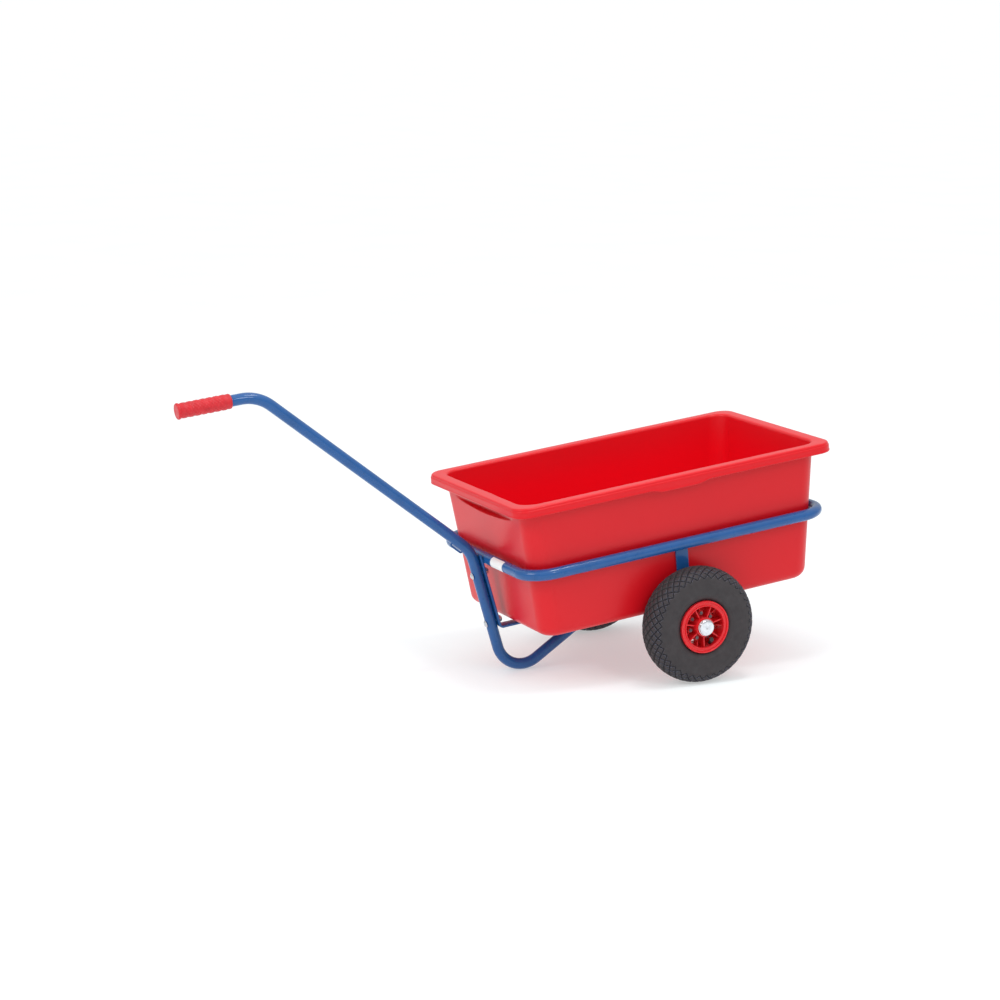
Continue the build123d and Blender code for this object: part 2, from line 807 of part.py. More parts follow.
def make_rim_half(side, hand, spoke_angle, screw_hole):
    """One rim half, on the outer (hand 1) or inner (hand -1) side of the wheel."""
    face = across(half_track + hand * web_face, side)
    with BuildPart() as rim:
        with BuildSketch(wheel_section(side)):
            with BuildLine():
                Polyline(
                    (hand * web_gap / 2, bush_radius),
                    (hand * hub_face, bush_radius),
                    (hand * hub_face, hub_radius),
                    (hand * web_face, hub_radius),
                    (hand * web_face, barrel_radius),
                    (hand * flange_face, barrel_radius),
                    (hand * flange_face, flange_radius),
                    (hand * bead_half_width, flange_radius),
                    (hand * bead_half_width, bead_radius),
                    (hand * web_gap / 2, bead_radius),
                    close=True,
                )
            make_face()
        revolve(axis=axle_line)
        rim_edges = rim.edges().filter_by(GeomType.CIRCLE).group_by(SortBy.RADIUS)[-1]
        fillet(rim_edges, flange_edge_radius)
        with BuildSketch(face):
            with PolarLocations((window_inner + window_outer) / 2, spoke_count, screw_start):
                SlotOverall(window_length, window_outer - window_inner, rotation=90)
        extrude(amount=-hand * web_thickness, mode=Mode.SUBTRACT)
        with BuildSketch(face):
            with PolarLocations((hub_radius + barrel_radius) / 2, spoke_count, spoke_angle):
                Rectangle(barrel_radius - hub_radius + spoke_thickness, spoke_thickness)
        extrude(amount=hand * spoke_depth)
        with BuildSketch(face):
            with PolarLocations(rim_screw_circle / 2, spoke_count, screw_start):
                Circle(screw_boss_diameter / 2)
        extrude(amount=hand * (screw_boss_height - web_thickness))
        with BuildSketch(across(half_track + screw_tip, side)):
            with PolarLocations(rim_screw_circle / 2, spoke_count, screw_start):
                Circle(screw_hole / 2)
        extrude(amount=screw_length, mode=Mode.SUBTRACT)
        if hand == 1:
            with BuildSketch(valve_plane(side, -valve_diameter / 2)):
                Circle(valve_hole / 2)
            extrude(amount=valve_length + valve_diameter / 2, mode=Mode.SUBTRACT)
    return rim


def make_bushes(side):
    with BuildPart() as bushes:
        for hand in (1, -1):
            with BuildSketch(across(half_track + hand * hub_face, side)):
                Circle(bush_radius)
                Circle(axle_radius + running_clearance, mode=Mode.SUBTRACT)
            extrude(amount=-hand * bush_length)
            with BuildSketch(across(half_track + hand * hub_face, side)):
                Circle(bush_flange_diameter / 2)
                Circle(axle_radius + running_clearance, mode=Mode.SUBTRACT)
            extrude(amount=hand * bush_flange)
    return bushes


def make_rim_screws(side):
    with BuildPart() as screws:
        with BuildSketch(across(half_track + screw_tip, side)):
            with PolarLocations(rim_screw_circle / 2, spoke_count, screw_start):
                Circle(screw_diameter / 2)
        extrude(amount=screw_length)
        with BuildSketch(across(half_track + screw_seat, side)):
            with PolarLocations(rim_screw_circle / 2, spoke_count, screw_start):
                Circle(screw_head_diameter / 2)
        extrude(amount=screw_head_height)
    return screws


def make_valve_stem(side):
    with BuildPart() as stem:
        with BuildSketch(valve_plane(side, -valve_diameter / 2)):
            Circle(valve_diameter / 2)
        extrude(amount=valve_length + valve_diameter / 2)
        add(make_ring(side, 0).part, mode=Mode.SUBTRACT)
    return stem


def make_valve_cap(side):
    with BuildPart() as cap:
        with BuildSketch(valve_plane(side, valve_length)):
            Circle(valve_cap_diameter / 2)
        extrude(amount=valve_cap_length)
    return cap


for side, name in ((1, "left"), (-1, "right")):
    tyre = make_tyre(side)
    tyre.part.label = name + "_tyre"
    export_step(tyre.part, "parts/" + name + "_tyre.step")

    inner_tube = make_inner_tube(side)
    inner_tube.part.label = name + "_inner_tube"
    export_step(inner_tube.part, "parts/" + name + "_inner_tube.step")

    rim_outer = make_rim_half(side, 1, spoke_start, screw_clearance_hole)
    rim_outer.part.label = name + "_rim_outer"
    export_step(rim_outer.part, "parts/" + name + "_rim_outer.step")

    rim_inner = make_rim_half(side, -1, screw_start, screw_diameter)
    rim_inner.part.label = name + "_rim_inner"
    export_step(rim_inner.part, "parts/" + name + "_rim_inner.step")

    bushes = make_bushes(side)
    bushes.part.label = name + "_hub_bushes"
    export_step(bushes.part, "parts/" + name + "_hub_bushes.step")

    rim_screws = make_rim_screws(side)
    rim_screws.part.label = name + "_rim_screws"
    export_step(rim_screws.part, "parts/" + name + "_rim_screws.step")

    valve_stem = make_valve_stem(side)
    valve_stem.part.label = name + "_valve_stem"
    export_step(valve_stem.part, "parts/" + name + "_valve_stem.step")

    valve_cap = make_valve_cap(side)
    valve_cap.part.label = name + "_valve_cap"
    export_step(valve_cap.part, "parts/" + name + "_valve_cap.step")
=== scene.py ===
import json
import math

import bpy
import numpy as np
from mathutils import Matrix, Vector


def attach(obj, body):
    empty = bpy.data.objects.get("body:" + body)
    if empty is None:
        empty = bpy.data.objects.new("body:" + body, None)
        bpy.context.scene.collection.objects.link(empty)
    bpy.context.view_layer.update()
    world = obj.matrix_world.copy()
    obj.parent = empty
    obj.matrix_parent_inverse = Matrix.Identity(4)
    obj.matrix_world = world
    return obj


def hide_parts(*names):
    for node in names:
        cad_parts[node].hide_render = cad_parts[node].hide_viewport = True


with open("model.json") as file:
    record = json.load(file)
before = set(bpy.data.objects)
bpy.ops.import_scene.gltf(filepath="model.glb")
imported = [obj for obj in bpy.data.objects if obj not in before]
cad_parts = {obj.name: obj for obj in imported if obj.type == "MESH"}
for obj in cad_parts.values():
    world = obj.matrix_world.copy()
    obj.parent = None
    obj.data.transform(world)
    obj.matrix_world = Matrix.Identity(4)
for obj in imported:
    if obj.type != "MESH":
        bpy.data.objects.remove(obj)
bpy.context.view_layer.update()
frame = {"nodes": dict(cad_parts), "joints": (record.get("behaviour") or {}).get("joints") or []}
nodes = frame["nodes"]
joints = {joint["name"]: joint for joint in frame["joints"]}

# The cart's own frame: x forwards, y to its left, z square to the tub's rim, from the
# middle of the axle, in millimetres. The parked cart is tipped back in the row frame.
MM = 0.001
axle_place = Vector(joints["left_wheel_spin"]["pos_m"])
axle_place.y = 0
cart_up = Vector(joints["tub_lift"]["axis"]).normalized()
cart_forward = Vector((cart_up.z, 0, -cart_up.x))
CART = Matrix.Translation(axle_place) @ Matrix(
    (
        (cart_forward.x * MM, 0, cart_up.x * MM, 0),
        (0, MM, 0, 0),
        (cart_forward.z * MM, 0, cart_up.z * MM, 0),
        (0, 0, 0, 1),
    )
)

# ------------------------------------------------------------------ camera
# Fitted to the photograph's outline of the cart.
VIEW_AZIMUTH = math.radians(25.232)
VIEW_ELEVATION = math.radians(11.989)
CAMERA_FROM_AXLE = Vector((-2.9588, -5.5843, 1.4912))

camera_data = bpy.data.cameras.new("camera")
camera_data.lens = 102.13
camera_data.sensor_width = 36.0
camera_data.shift_x = -0.0128
camera_data.shift_y = 0.0347
camera_data.clip_end = 500.0
camera = bpy.data.objects.new("camera", camera_data)
bpy.context.scene.collection.objects.link(camera)
camera.location = axle_place + CAMERA_FROM_AXLE
looking = Vector(
    (
        math.sin(VIEW_AZIMUTH) * math.cos(VIEW_ELEVATION),
        math.cos(VIEW_AZIMUTH) * math.cos(VIEW_ELEVATION),
        -math.sin(VIEW_ELEVATION),
    )
)
camera.rotation_mode = "QUATERNION"
camera.rotation_quaternion = looking.to_track_quat("-Z", "Y")
bpy.context.scene.camera = camera
bpy.context.scene.view_settings.view_transform = "Standard"


# ------------------------------------------------------------------ materials
class Shader:
    """A node material whose nodes are added one at a time."""

    def __init__(self, name, **inputs):
        self.material = bpy.data.materials.new(name)
        self.material.use_nodes = True
        self.tree = self.material.node_tree
        self.surface = self.tree.nodes["Principled BSDF"]
        for key, value in inputs.items():
            self.surface.inputs[key.replace("_", " ")].default_value = value
        self.place = self.add("ShaderNodeTexCoord").outputs["Object"]

    def add(self, kind, **settings):
        node = self.tree.nodes.new(kind)
        for key, value in settings.items():
            setattr(node, key, value)
        return node

    def link(self, source, target):
        self.tree.links.new(source, target)

    def noise(self, scale, detail=3.0, stretch=(1, 1, 1), roughness=0.5):
        mapping = self.add("ShaderNodeMapping")
        mapping.inputs["Scale"].default_value = stretch
        self.link(self.place, mapping.inputs["Vector"])
        node = self.add("ShaderNodeTexNoise")
        node.inputs["Scale"].default_value = scale
        node.inputs["Detail"].default_value = detail
        node.inputs["Roughness"].default_value = roughness
        self.link(mapping.outputs["Vector"], node.inputs["Vector"])
        return node.outputs["Fac"]

    def cells(self, scale, feature="F1"):
        node = self.add("ShaderNodeTexVoronoi", feature=feature)
        node.inputs["Scale"].default_value = scale
        self.link(self.place, node.inputs["Vector"])
        return node.outputs["Distance"]

    def spread(self, source, low, high, start=0.3, end=0.7):
        """source, from start to end, spread over low to high."""
        node = self.add("ShaderNodeMapRange")
        node.inputs["From Min"].default_value = start
        node.inputs["From Max"].default_value = end
        node.inputs["To Min"].default_value = low
        node.inputs["To Max"].default_value = high
        self.link(source, node.inputs["Value"])
        return node.outputs["Result"]

    def colours(self, source, *stops):
        """A colour ramp of (position, colour) stops over source."""
        node = self.add("ShaderNodeValToRGB")
        ramp = node.color_ramp
        while len(ramp.elements) < len(stops):
            ramp.elements.new(0.5)
        for element, (position, colour) in zip(ramp.elements, stops):
            element.position = position
            element.color = (*colour, 1)
        self.link(source, node.inputs["Fac"])
        self.link(node.outputs["Color"], self.surface.inputs["Base Color"])

    def mix_colour(self, share, colour):
        """Mixes a colour over the base colour, by share."""
        base = self.surface.inputs["Base Color"]
        before = base.links[0].from_socket
        node = self.add("ShaderNodeMix", data_type="RGBA")
        self.link(share, node.inputs["Factor"])
        self.link(before, node.inputs["A"])
        node.inputs["B"].default_value = (*colour, 1)
        self.link(node.outputs["Result"], base)

    def rough(self, source, low, high):
        self.link(self.spread(source, low, high), self.surface.inputs["Roughness"])

    def bumps(self, *layers):
        """Stacks (height source, distance in metres) layers of bump."""
        normal = None
        for source, distance in layers:
            node = self.add("ShaderNodeBump")
            node.inputs["Strength"].default_value = 1.0
            node.inputs["Distance"].default_value = distance
            self.link(source, node.inputs["Height"])
            if normal is not None:
                self.link(normal, node.inputs["Normal"])
            normal = node.outputs["Normal"]
        self.link(normal, self.surface.inputs["Normal"])


def red_moulding(name, light, deep, low_rough, high_rough, grain):
    """Injection-moulded red plastic: faint flow clouds, satin patches and fine grain."""
    shader = Shader(name, IOR=1.46)
    shader.colours(shader.noise(5.0, 2.0, (1, 1, 0.45)), (0.0, deep), (1.0, light))
    roughness = shader.spread(shader.noise(7.0, 2.0), low_rough, high_rough, 0.0, 1.0)
    shader.link(roughness, shader.surface.inputs["Roughness"])
    shader.bumps((shader.noise(grain, 2.0), 0.00003))
    return shader


tub_shader = red_moulding(
    "tub_red_plastic", (0.72, 0.0055, 0.013), (0.64, 0.0045, 0.011), 0.26, 0.36, 1500.0
)
# The inside, where the "inside" attribute is 1, is painted a deeper, purer red as painted shade for the
# shaded, red-lit inside, and its specular level is lowered so it is less glossy.
inside = tub_shader.add("ShaderNodeAttribute", attribute_name="inside").outputs["Fac"]
tub_shader.mix_colour(inside, (0.78, 0.0035, 0.012))
tub_shader.link(
    tub_shader.spread(inside, 0.36, 0.12, 0.0, 1.0), tub_shader.surface.inputs["Specular IOR Level"]
)
tub_red = tub_shader.material
rim_red = red_moulding(
    "rim_red_plastic", (0.78, 0.014, 0.022), (0.70, 0.010, 0.017), 0.22, 0.34, 1900.0
).material


def powder_coat():
    """Blue powder coat on steel tube: orange peel, small specks, worn gloss."""
    shader = Shader("blue_powder_coat", IOR=1.5)
    shader.surface.inputs["Specular IOR Level"].default_value = 0.15
    shader.surface.inputs["Coat Weight"].default_value = 0.6
    shader.surface.inputs["Coat Roughness"].default_value = 0.03
    shader.colours(
        shader.noise(24.0, 5.0, roughness=0.6),
        (0.25, (0.010, 0.078, 0.255)),
        (0.5, (0.012, 0.090, 0.290)),
        (0.8, (0.015, 0.102, 0.320)),
    )
    shader.rough(shader.noise(40.0, 3.0), 0.24, 0.36)
    shader.bumps(
        (shader.noise(160.0, 1.0), 0.00006),
        (shader.noise(900.0, 2.0), 0.00001),
    )
    return shader.material


blue_paint = powder_coat()


def zinc_plate(name, dark, light, low_rough, high_rough):
    """Zinc-plated steel: cloudy spangle and fine turning marks."""
    shader = Shader(name, Metallic=1.0)
    shader.colours(shader.noise(140.0, 5.0), (0.3, dark), (0.7, light))
    shader.rough(shader.cells(420.0), low_rough, high_rough)
    shader.bumps((shader.noise(900.0, 3.0), 0.00003), (shader.cells(500.0), 0.00003))
    return shader.material


zinc = zinc_plate("zinc_plate", (0.50, 0.51, 0.54), (0.70, 0.71, 0.73), 0.24, 0.42)
bright_zinc = zinc_plate("bright_zinc", (0.62, 0.64, 0.69), (0.80, 0.81, 0.84), 0.12, 0.2)
# Darkened zinc for the wheel rim's screws: painted shade for screws that sit in the rim's shaded hollows.
zinc_painted_shade = zinc_plate("zinc_painted_shade", (0.10, 0.09, 0.10), (0.22, 0.20, 0.21), 0.4, 0.6)


def tyre_rubber():
    """Dark tyre rubber: dusty bloom, mould grain, dull crown, a painted highlight on block edges and
    painted shade in the grooves.
    """
    shader = Shader("tyre_rubber", IOR=1.45)
    shader.colours(
        shader.noise(38.0, 6.0, roughness=0.6),
        (0.25, (0.028, 0.023, 0.026)),
        (0.5, (0.036, 0.030, 0.033)),
        (0.8, (0.045, 0.038, 0.042)),
    )
    # Block edges ("edge" attribute) get a bluish grey painted highlight, and grooves ("groove" attribute)
    # get dark painted shade.
    edge = shader.add("ShaderNodeAttribute", attribute_name="edge").outputs["Fac"]
    shader.mix_colour(edge, (0.12, 0.125, 0.19))
    groove = shader.add("ShaderNodeAttribute", attribute_name="groove").outputs["Fac"]
    shader.mix_colour(groove, (0.008, 0.006, 0.008))
    shader.rough(shader.noise(90.0, 4.0), 0.5, 0.7)
    shader.bumps(
        (shader.noise(220.0, 3.0), 0.00015),
        (shader.noise(1600.0, 2.0), 0.00006),
    )
    return shader.material


tyre_black = tyre_rubber()


def grip_vinyl_red():
    """Soft dipped vinyl: pebbled skin, satin."""
    shader = Shader("grip_vinyl_red", IOR=1.45)
    shader.colours(
        shader.noise(70.0, 4.0),
        (0.3, (0.52, 0.008, 0.016)),
        (0.7, (0.64, 0.014, 0.024)),
    )
    shader.rough(shader.noise(160.0, 3.0), 0.34, 0.5)
    shader.bumps((shader.cells(420.0), 0.00020), (shader.noise(1500.0, 2.0), 0.00004))
    return shader.material


grip_red = grip_vinyl_red()


def black_moulding(name, deep, light):
    """Black moulded plastic or rubber with a fine spark-eroded grain."""
    shader = Shader(name, IOR=1.45)
    shader.colours(shader.noise(80.0, 4.0), (0.3, deep), (0.7, light))
    shader.rough(shader.noise(200.0, 3.0), 0.42, 0.62)
    shader.bumps((shader.noise(1200.0, 3.0), 0.00006))
    return shader.material


black_plastic = black_moulding("black_plastic", (0.012, 0.012, 0.013), (0.024, 0.024, 0.026))
valve_rubber = black_moulding("valve_rubber", (0.016, 0.015, 0.015), (0.03, 0.028, 0.028))
nylon = black_moulding("natural_nylon", (0.60, 0.57, 0.50), (0.74, 0.71, 0.64))
white_film = black_moulding("white_film", (0.82, 0.82, 0.81), (0.88, 0.88, 0.88))


# ------------------------------------------------------------------ mesh building
class Shape:
    """Vertices and faces gathered in the cart's frame, in millimetres."""

    def __init__(self):
        self.verts = []
        self.faces = []
        self.count = 0

    def add(self, verts, faces):
        verts = np.asarray(verts, float).reshape(-1, 3)
        self.verts.append(verts)
        self.faces.extend(tuple(int(i) + self.count for i in face) for face in faces)
        self.count += len(verts)
        return self

    def grid(self, points, closed=False):
        """Skins rows of rings, as rows x around x 3. Ends are capped, or joined if closed."""
        rows, around = points.shape[:2]
        faces = []
        for row in range(rows if closed else rows - 1):
            here = row * around
            there = (row + 1) % rows * around
            for i in range(around):
                j = (i + 1) % around
                faces.append((here + i, here + j, there + j, there + i))
        if not closed:
            faces.append(tuple(reversed(range(around))))
            faces.append(tuple(range((rows - 1) * around, rows * around)))
        return self.add(points, faces)

    def piece(self, name, material, body, slot, *replaced, sharp=40, **attributes):
        """Makes the object, in metres in the row frame, with a value per point and attribute."""
        verts = np.concatenate(self.verts)
        matrix = np.array(CART)
        verts = verts @ matrix[:3, :3].T + matrix[:3, 3]
        mesh = bpy.data.meshes.new(name)
        mesh.from_pydata(verts.tolist(), [], self.faces)
        mesh.validate()
        mesh.shade_smooth()
        mesh.set_sharp_from_angle(angle=math.radians(sharp))
        mesh.materials.append(material)
        for key, values in attributes.items():
            shares = np.zeros(len(mesh.vertices), np.float32)
            shares[: len(values)] = values
            mesh.attributes.new(key, "FLOAT", "POINT").data.foreach_set("value", shares)
        obj = bpy.data.objects.new(name, mesh)
        bpy.context.scene.collection.objects.link(obj)
        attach(obj, body)
        if replaced:
            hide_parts(*replaced)
        return obj


def unit(vector):
    """The vector at length 1."""
    vector = np.asarray(vector, float)
    return vector / np.linalg.norm(vector)


def bent_path(points, radii, closed=False, step=math.radians(4)):
    """A line of straight runs joined by arcs, as points and directions."""
    points = [np.asarray(p, float) for p in points]
    count = len(points)
    corners = range(count) if closed else range(1, count - 1)
    out = [] if closed else [(points[0], unit(points[1] - points[0]))]
    for radius, i in zip(radii, corners):
        before = unit(points[i] - points[i - 1])
        after = unit(points[(i + 1) % count] - points[i])
        turn = math.acos(np.clip(before @ after, -1, 1))
        reach = radius * math.tan(turn / 2)
        start = points[i] - before * reach
        inward = unit(after - before * (before @ after))
        steps = max(2, math.ceil(turn / step))
        for s in range(steps + 1):
            angle = turn * s / steps
            place = start + before * radius * math.sin(angle) + inward * radius * (1 - math.cos(angle))
            out.append((place, before * math.cos(angle) + inward * math.sin(angle)))
    if not closed:
        out.append((points[-1], unit(points[-1] - points[-2])))
    return out


def sweep(path, section, side, closed=False, end_round=0.0):
    """Sweeps a section of (across, up) points. across runs along side."""
    side = unit(side)
    section = np.asarray(section, float)
    reach = np.abs(section).max(axis=0)
    rows = []
    for place, along in path:
        up = unit(np.cross(along, side))
        rows.append(place + section[:, :1] * side + section[:, 1:] * up)
    if end_round and not closed:
        small = section * (1 - end_round / reach)
        ends = []
        for place, along in (path[0], path[-1]):
            up = unit(np.cross(along, side))
            ends.append(place + small[:, :1] * side + small[:, 1:] * up)
        rows[0] = rows[0] + path[0][1] * end_round
        rows[-1] = rows[-1] - path[-1][1] * end_round
        rows = [ends[0], *rows, ends[1]]
    return Shape().grid(np.array(rows), closed)


def circle(radius, around=40):
    """Section of a round bar."""
    angles = np.arange(around) * 2 * math.pi / around
    return np.stack([radius * np.cos(angles), radius * np.sin(angles)], axis=1)


def flat_bar(width, thickness, corner=1.1, steps=4):
    """Section of a flat bar with rounded edges."""
    out = []
    for i, (sx, sy) in enumerate(((1, 1), (-1, 1), (-1, -1), (1, -1))):
        for s in range(steps + 1):
            angle = math.radians(90 * i + 90 * s / steps)
            out.append(
                (
                    sx * (width / 2 - corner) + corner * math.cos(angle),
                    sy * (thickness / 2 - corner) + corner * math.sin(angle),
                )
            )
    return out


def lathe(profile, origin, axis, around=48, closed=False):
    """Turns a profile of (radius, height) points about an axis."""
    axis = unit(axis)
    first = unit(np.cross(axis, (0, 1, 0) if abs(axis[1]) < 0.9 else (1, 0, 0)))
    second = np.cross(axis, first)
    angles = np.arange(around) * 2 * math.pi / around
    ring = np.cos(angles)[:, None] * first + np.sin(angles)[:, None] * second
    rows = [np.asarray(origin, float) + axis * h + ring * max(r, 0.02) for r, h in profile]
    return Shape().grid(np.array(rows), closed)


def joined(*shapes):
    """One shape with the vertices and faces of all."""
    out = Shape()
    for shape in shapes:
        out.add(np.concatenate(shape.verts), shape.faces)
    return out


def arc(centre, radius, start, end, steps):
    """Points of an arc in a plane, with angles in degrees."""
    angles = np.radians(np.linspace(start, end, steps + 1))
    return [(centre[0] + radius * math.cos(a), centre[1] + radius * math.sin(a)) for a in angles]


def smooth(value, start, end):
    """0 before start, 1 after end, and smooth between."""
    t = np.clip((value - start) / (end - start), 0, 1)
    return t * t * (3 - 2 * t)


# ------------------------------------------------------------------ tub
RIM_REAR, RIM_FRONT, RIM_HALF = 396.0, 394.0, 247.0
TUB_TOP, TUB_BOTTOM, WALL = 336.0, 27.0, 4.0
OVERHANG, PLATE, SKIRT_WALL = 25.5, 4.0, 3.5
SKIRT_BOTTOM = 313.5
RIM_CORNER, WALL_CORNER = 38.0, 42.0
TAPER_REAR, TAPER_FRONT, TAPER_SIDE = 26.0, 42.0, 13.0
FLOOR_EDGE = 22.0
SCOOP_HALF, SCOOP_DROP, SCOOP_RISE, SCOOP_DEPTH, SCOOP_HEAD = 165.0, 33.0, 12.0, 18.0, 8.5
SCOOP_REACH = 272.0  # the walls' rings lie close together above this height
TAB_HALF, TAB_SLOPE, TAB_DEPTH = 50.0, 25.0, 6.5
RIM_CROWN, RIM_LIP = 0.4, 5.0  # the rim's middle above its edges, and its inner edge's radius
RIM_EDGE, RIM_EDGE_INSET = 4.6, 2.1  # its outer edge's radius and place
SHORT_STEPS, LONG_STEPS, CORNER_STEPS = 88, 110, 14
FLOOR_INSETS = (60.0, 120.0, 180.0)  # rings of the floor, inwards from the wall


def wall_sizes(height, inset):
    """(rear, front, half width, corner radius) of the wall at a height."""
    share = (TUB_TOP - height) / (TUB_TOP - TUB_BOTTOM)
    return np.array(
        (
            RIM_REAR - OVERHANG - TAPER_REAR * share - inset,
            RIM_FRONT - OVERHANG - TAPER_FRONT * share - inset,
            RIM_HALF - OVERHANG - TAPER_SIDE * share - inset,
            max(WALL_CORNER - inset, 1.0),
        )
    )


def rim_sizes(inset):
    """(rear, front, half width, corner radius) of the rim, inset from its edge."""
    return np.array((RIM_REAR - inset, RIM_FRONT - inset, RIM_HALF - inset, RIM_CORNER - inset))


def rounded_ring(sizes, height):
    """Points round a rounded rectangle, anticlockwise from the rear of the right side."""
    rear, front, half, radius = sizes
    straight_x = np.linspace(-rear + radius, front - radius, LONG_STEPS, endpoint=False)
    straight_y = np.linspace(-half + radius, half - radius, SHORT_STEPS, endpoint=False)
    turn = np.radians(np.linspace(0, 90, CORNER_STEPS, endpoint=False))
    near = np.stack([straight_x, np.full(LONG_STEPS, -half)], axis=1)
    fore = np.stack([np.full(SHORT_STEPS, front), straight_y], axis=1)
    returning_x = straight_x[::-1] + (straight_x[1] - straight_x[0])
    returning_y = straight_y[::-1] + (straight_y[1] - straight_y[0])
    far = np.stack([returning_x, np.full(LONG_STEPS, half)], axis=1)
    back = np.stack([np.full(SHORT_STEPS, -rear), returning_y], axis=1)

    def corner(x, y, start):
        angle = turn + math.radians(start)
        return np.stack([x + radius * np.cos(angle), y + radius * np.sin(angle)], axis=1)

    loop = np.concatenate(
        [
            near,
            corner(front - radius, -half + radius, -90),
            fore,
            corner(front - radius, half - radius, 0),
            far,
            corner(-rear + radius, half - radius, 90),
            back,
            corner(-rear + radius, -half + radius, 180),
        ]
    )
    return np.concatenate([loop, np.full((len(loop), 1), height)], axis=1)


def arc_radius(half_chord, rise):
    """Radius of the arc that rises this far over its chord."""
    return (half_chord**2 + rise**2) / (2 * rise)


def press_scoop(ring, margin):
    """Pushes the rear wall in to the back of the finger scoop, with a soft edge."""
    x, y, z = ring.T
    edge_radius = arc_radius(SCOOP_HALF, SCOOP_RISE) + margin
    back_radius = arc_radius(SCOOP_HALF, SCOOP_DEPTH) + margin
    low = SKIRT_BOTTOM - SCOOP_DROP - margin + edge_radius - np.sqrt(edge_radius**2 - y**2)
    back = RIM_REAR - OVERHANG - SCOOP_DEPTH - margin + back_radius - np.sqrt(back_radius**2 - y**2)
    high = SKIRT_BOTTOM + SCOOP_HEAD + margin
    soft = (-1.0, 2.5)
    pressed = np.maximum(-back - x, 0) * smooth(z - low, *soft) * smooth(high - z, *soft)
    ring[:, 0] += np.where((x < 0) & (np.abs(y) < SCOOP_HALF + margin), pressed, 0)
    return ring


def blend(start, end, share):
    return start * (1 - share) + end * share


def skirt_ring(inset, height):
    """A ring of the rim's skirt, lowered at the tabs in the middle of both long sides."""
    ring = rounded_ring(rim_sizes(inset), height)
    along = np.abs(ring[:, 0])
    side = smooth(np.abs(ring[:, 1]), RIM_HALF - 6, RIM_HALF - 5)
    tab = TAB_DEPTH * (1 - smooth(along, TAB_HALF - 8, TAB_HALF + TAB_SLOPE)) * side
    ring[:, 2] -= tab * (1 - smooth(height, SKIRT_BOTTOM + 3, SKIRT_BOTTOM + 11))
    return ring


def tub_underside():
    """Rings of the underside and the outer edge of the floor."""
    for inset in (*FLOOR_INSETS[::-1], 32.0):
        yield rounded_ring(wall_sizes(TUB_BOTTOM, inset), TUB_BOTTOM)
    for angle in np.radians(np.linspace(0, 90, 9)):
        height = TUB_BOTTOM + FLOOR_EDGE * (1 - math.cos(angle))
        yield rounded_ring(wall_sizes(height, FLOOR_EDGE * (1 - math.sin(angle))), height)


def tub_outside():
    """Rings of the outer wall, of the plate over it, and of both faces of the skirt."""
    plain = np.linspace(TUB_BOTTOM + FLOOR_EDGE, SCOOP_REACH, 15)[1:]
    for height in [*plain, *np.arange(SCOOP_REACH + 1.2, 329.5, 1.2)]:
        yield press_scoop(rounded_ring(wall_sizes(height, 0), height), 0.0)
    under = TUB_TOP - PLATE
    top_wall, inner_skirt = wall_sizes(under, 0), rim_sizes(SKIRT_WALL)
    for share, drop in ((0.03, 1.2), (0.1, 0.3), (0.5, 0.0), (0.9, 0.3), (1.0, 1.6)):
        yield rounded_ring(blend(top_wall, inner_skirt, share), under - drop)
    inner_face = [(SKIRT_WALL, 12.5), (SKIRT_WALL, 7.5), (SKIRT_WALL, 2.0)]
    lower_edge = [(SKIRT_WALL - 0.5, 0.6), (SKIRT_WALL / 2, 0.0), (0.4, 0.5)]
    outer_bead = [(-0.3, 1.8), (-0.3, 3.2), (0.25, 4.4)]
    outer_face = [(0.3, 6.5), (0.35, 11.5), (0.5, 14.8), (1.1, 15.8), (1.9, 16.2), (2.05, 16.9)]
    for inset, rise in inner_face + lower_edge + outer_bead + outer_face:
        yield skirt_ring(inset, SKIRT_BOTTOM + rise)


def tub_rim():
    """Rings of the rim's round outer edge, slightly crowned top and round inner edge."""
    flat = TUB_TOP - RIM_CROWN
    for angle in np.radians(np.linspace(0, 90, 7)):
        inset = RIM_EDGE_INSET + RIM_EDGE * (1 - math.cos(angle))
        yield rounded_ring(rim_sizes(inset), flat - RIM_EDGE * (1 - math.sin(angle)))
    outer = rim_sizes(RIM_EDGE_INSET + RIM_EDGE)
    inner = wall_sizes(TUB_TOP, WALL - RIM_LIP)
    for share in (0.2, 0.4, 0.6, 0.8):
        height = flat + RIM_CROWN * math.sin(math.pi * share)
        yield rounded_ring(blend(outer, inner, share), height)
    for angle in np.radians(np.linspace(0, 90, 7)):
        height = flat - RIM_LIP * (1 - math.cos(angle))
        yield rounded_ring(wall_sizes(height, WALL - RIM_LIP * (1 - math.sin(angle))), height)


def tub_inside():
    """Rings of the inner wall, the floor's inner edge and the floor."""
    scooped = np.arange(329.0, 268, -1.5)
    for height in [*scooped, *np.linspace(266, TUB_BOTTOM + FLOOR_EDGE, 14)]:
        yield press_scoop(rounded_ring(wall_sizes(height, WALL), height), WALL)
    floor_radius = FLOOR_EDGE - WALL
    for angle in np.radians(np.linspace(0, 90, 9)[1:]):
        height = TUB_BOTTOM + FLOOR_EDGE - floor_radius * math.sin(angle)
        inset = WALL + floor_radius * (1 - math.cos(angle))
        yield rounded_ring(wall_sizes(height, inset), height)
    for inset in (40.0, *FLOOR_INSETS):
        yield rounded_ring(wall_sizes(TUB_BOTTOM + WALL, inset), TUB_BOTTOM + WALL)


def tub_rings():
    """All rings of the tub, and how far each point takes the inside's painted shade, from 0 to 1."""
    outside = [*tub_underside(), *tub_outside(), *tub_rim()]
    rings = np.array([*outside, *tub_inside()])
    depth = TUB_TOP - rings[:, :, 2]
    # The inside's painted shade grows from 4 mm to 95 mm below the rim's top.
    inside = np.where(np.arange(len(rings))[:, None] >= len(outside), smooth(depth, 4, 95), 0)
    return rings, inside.ravel()


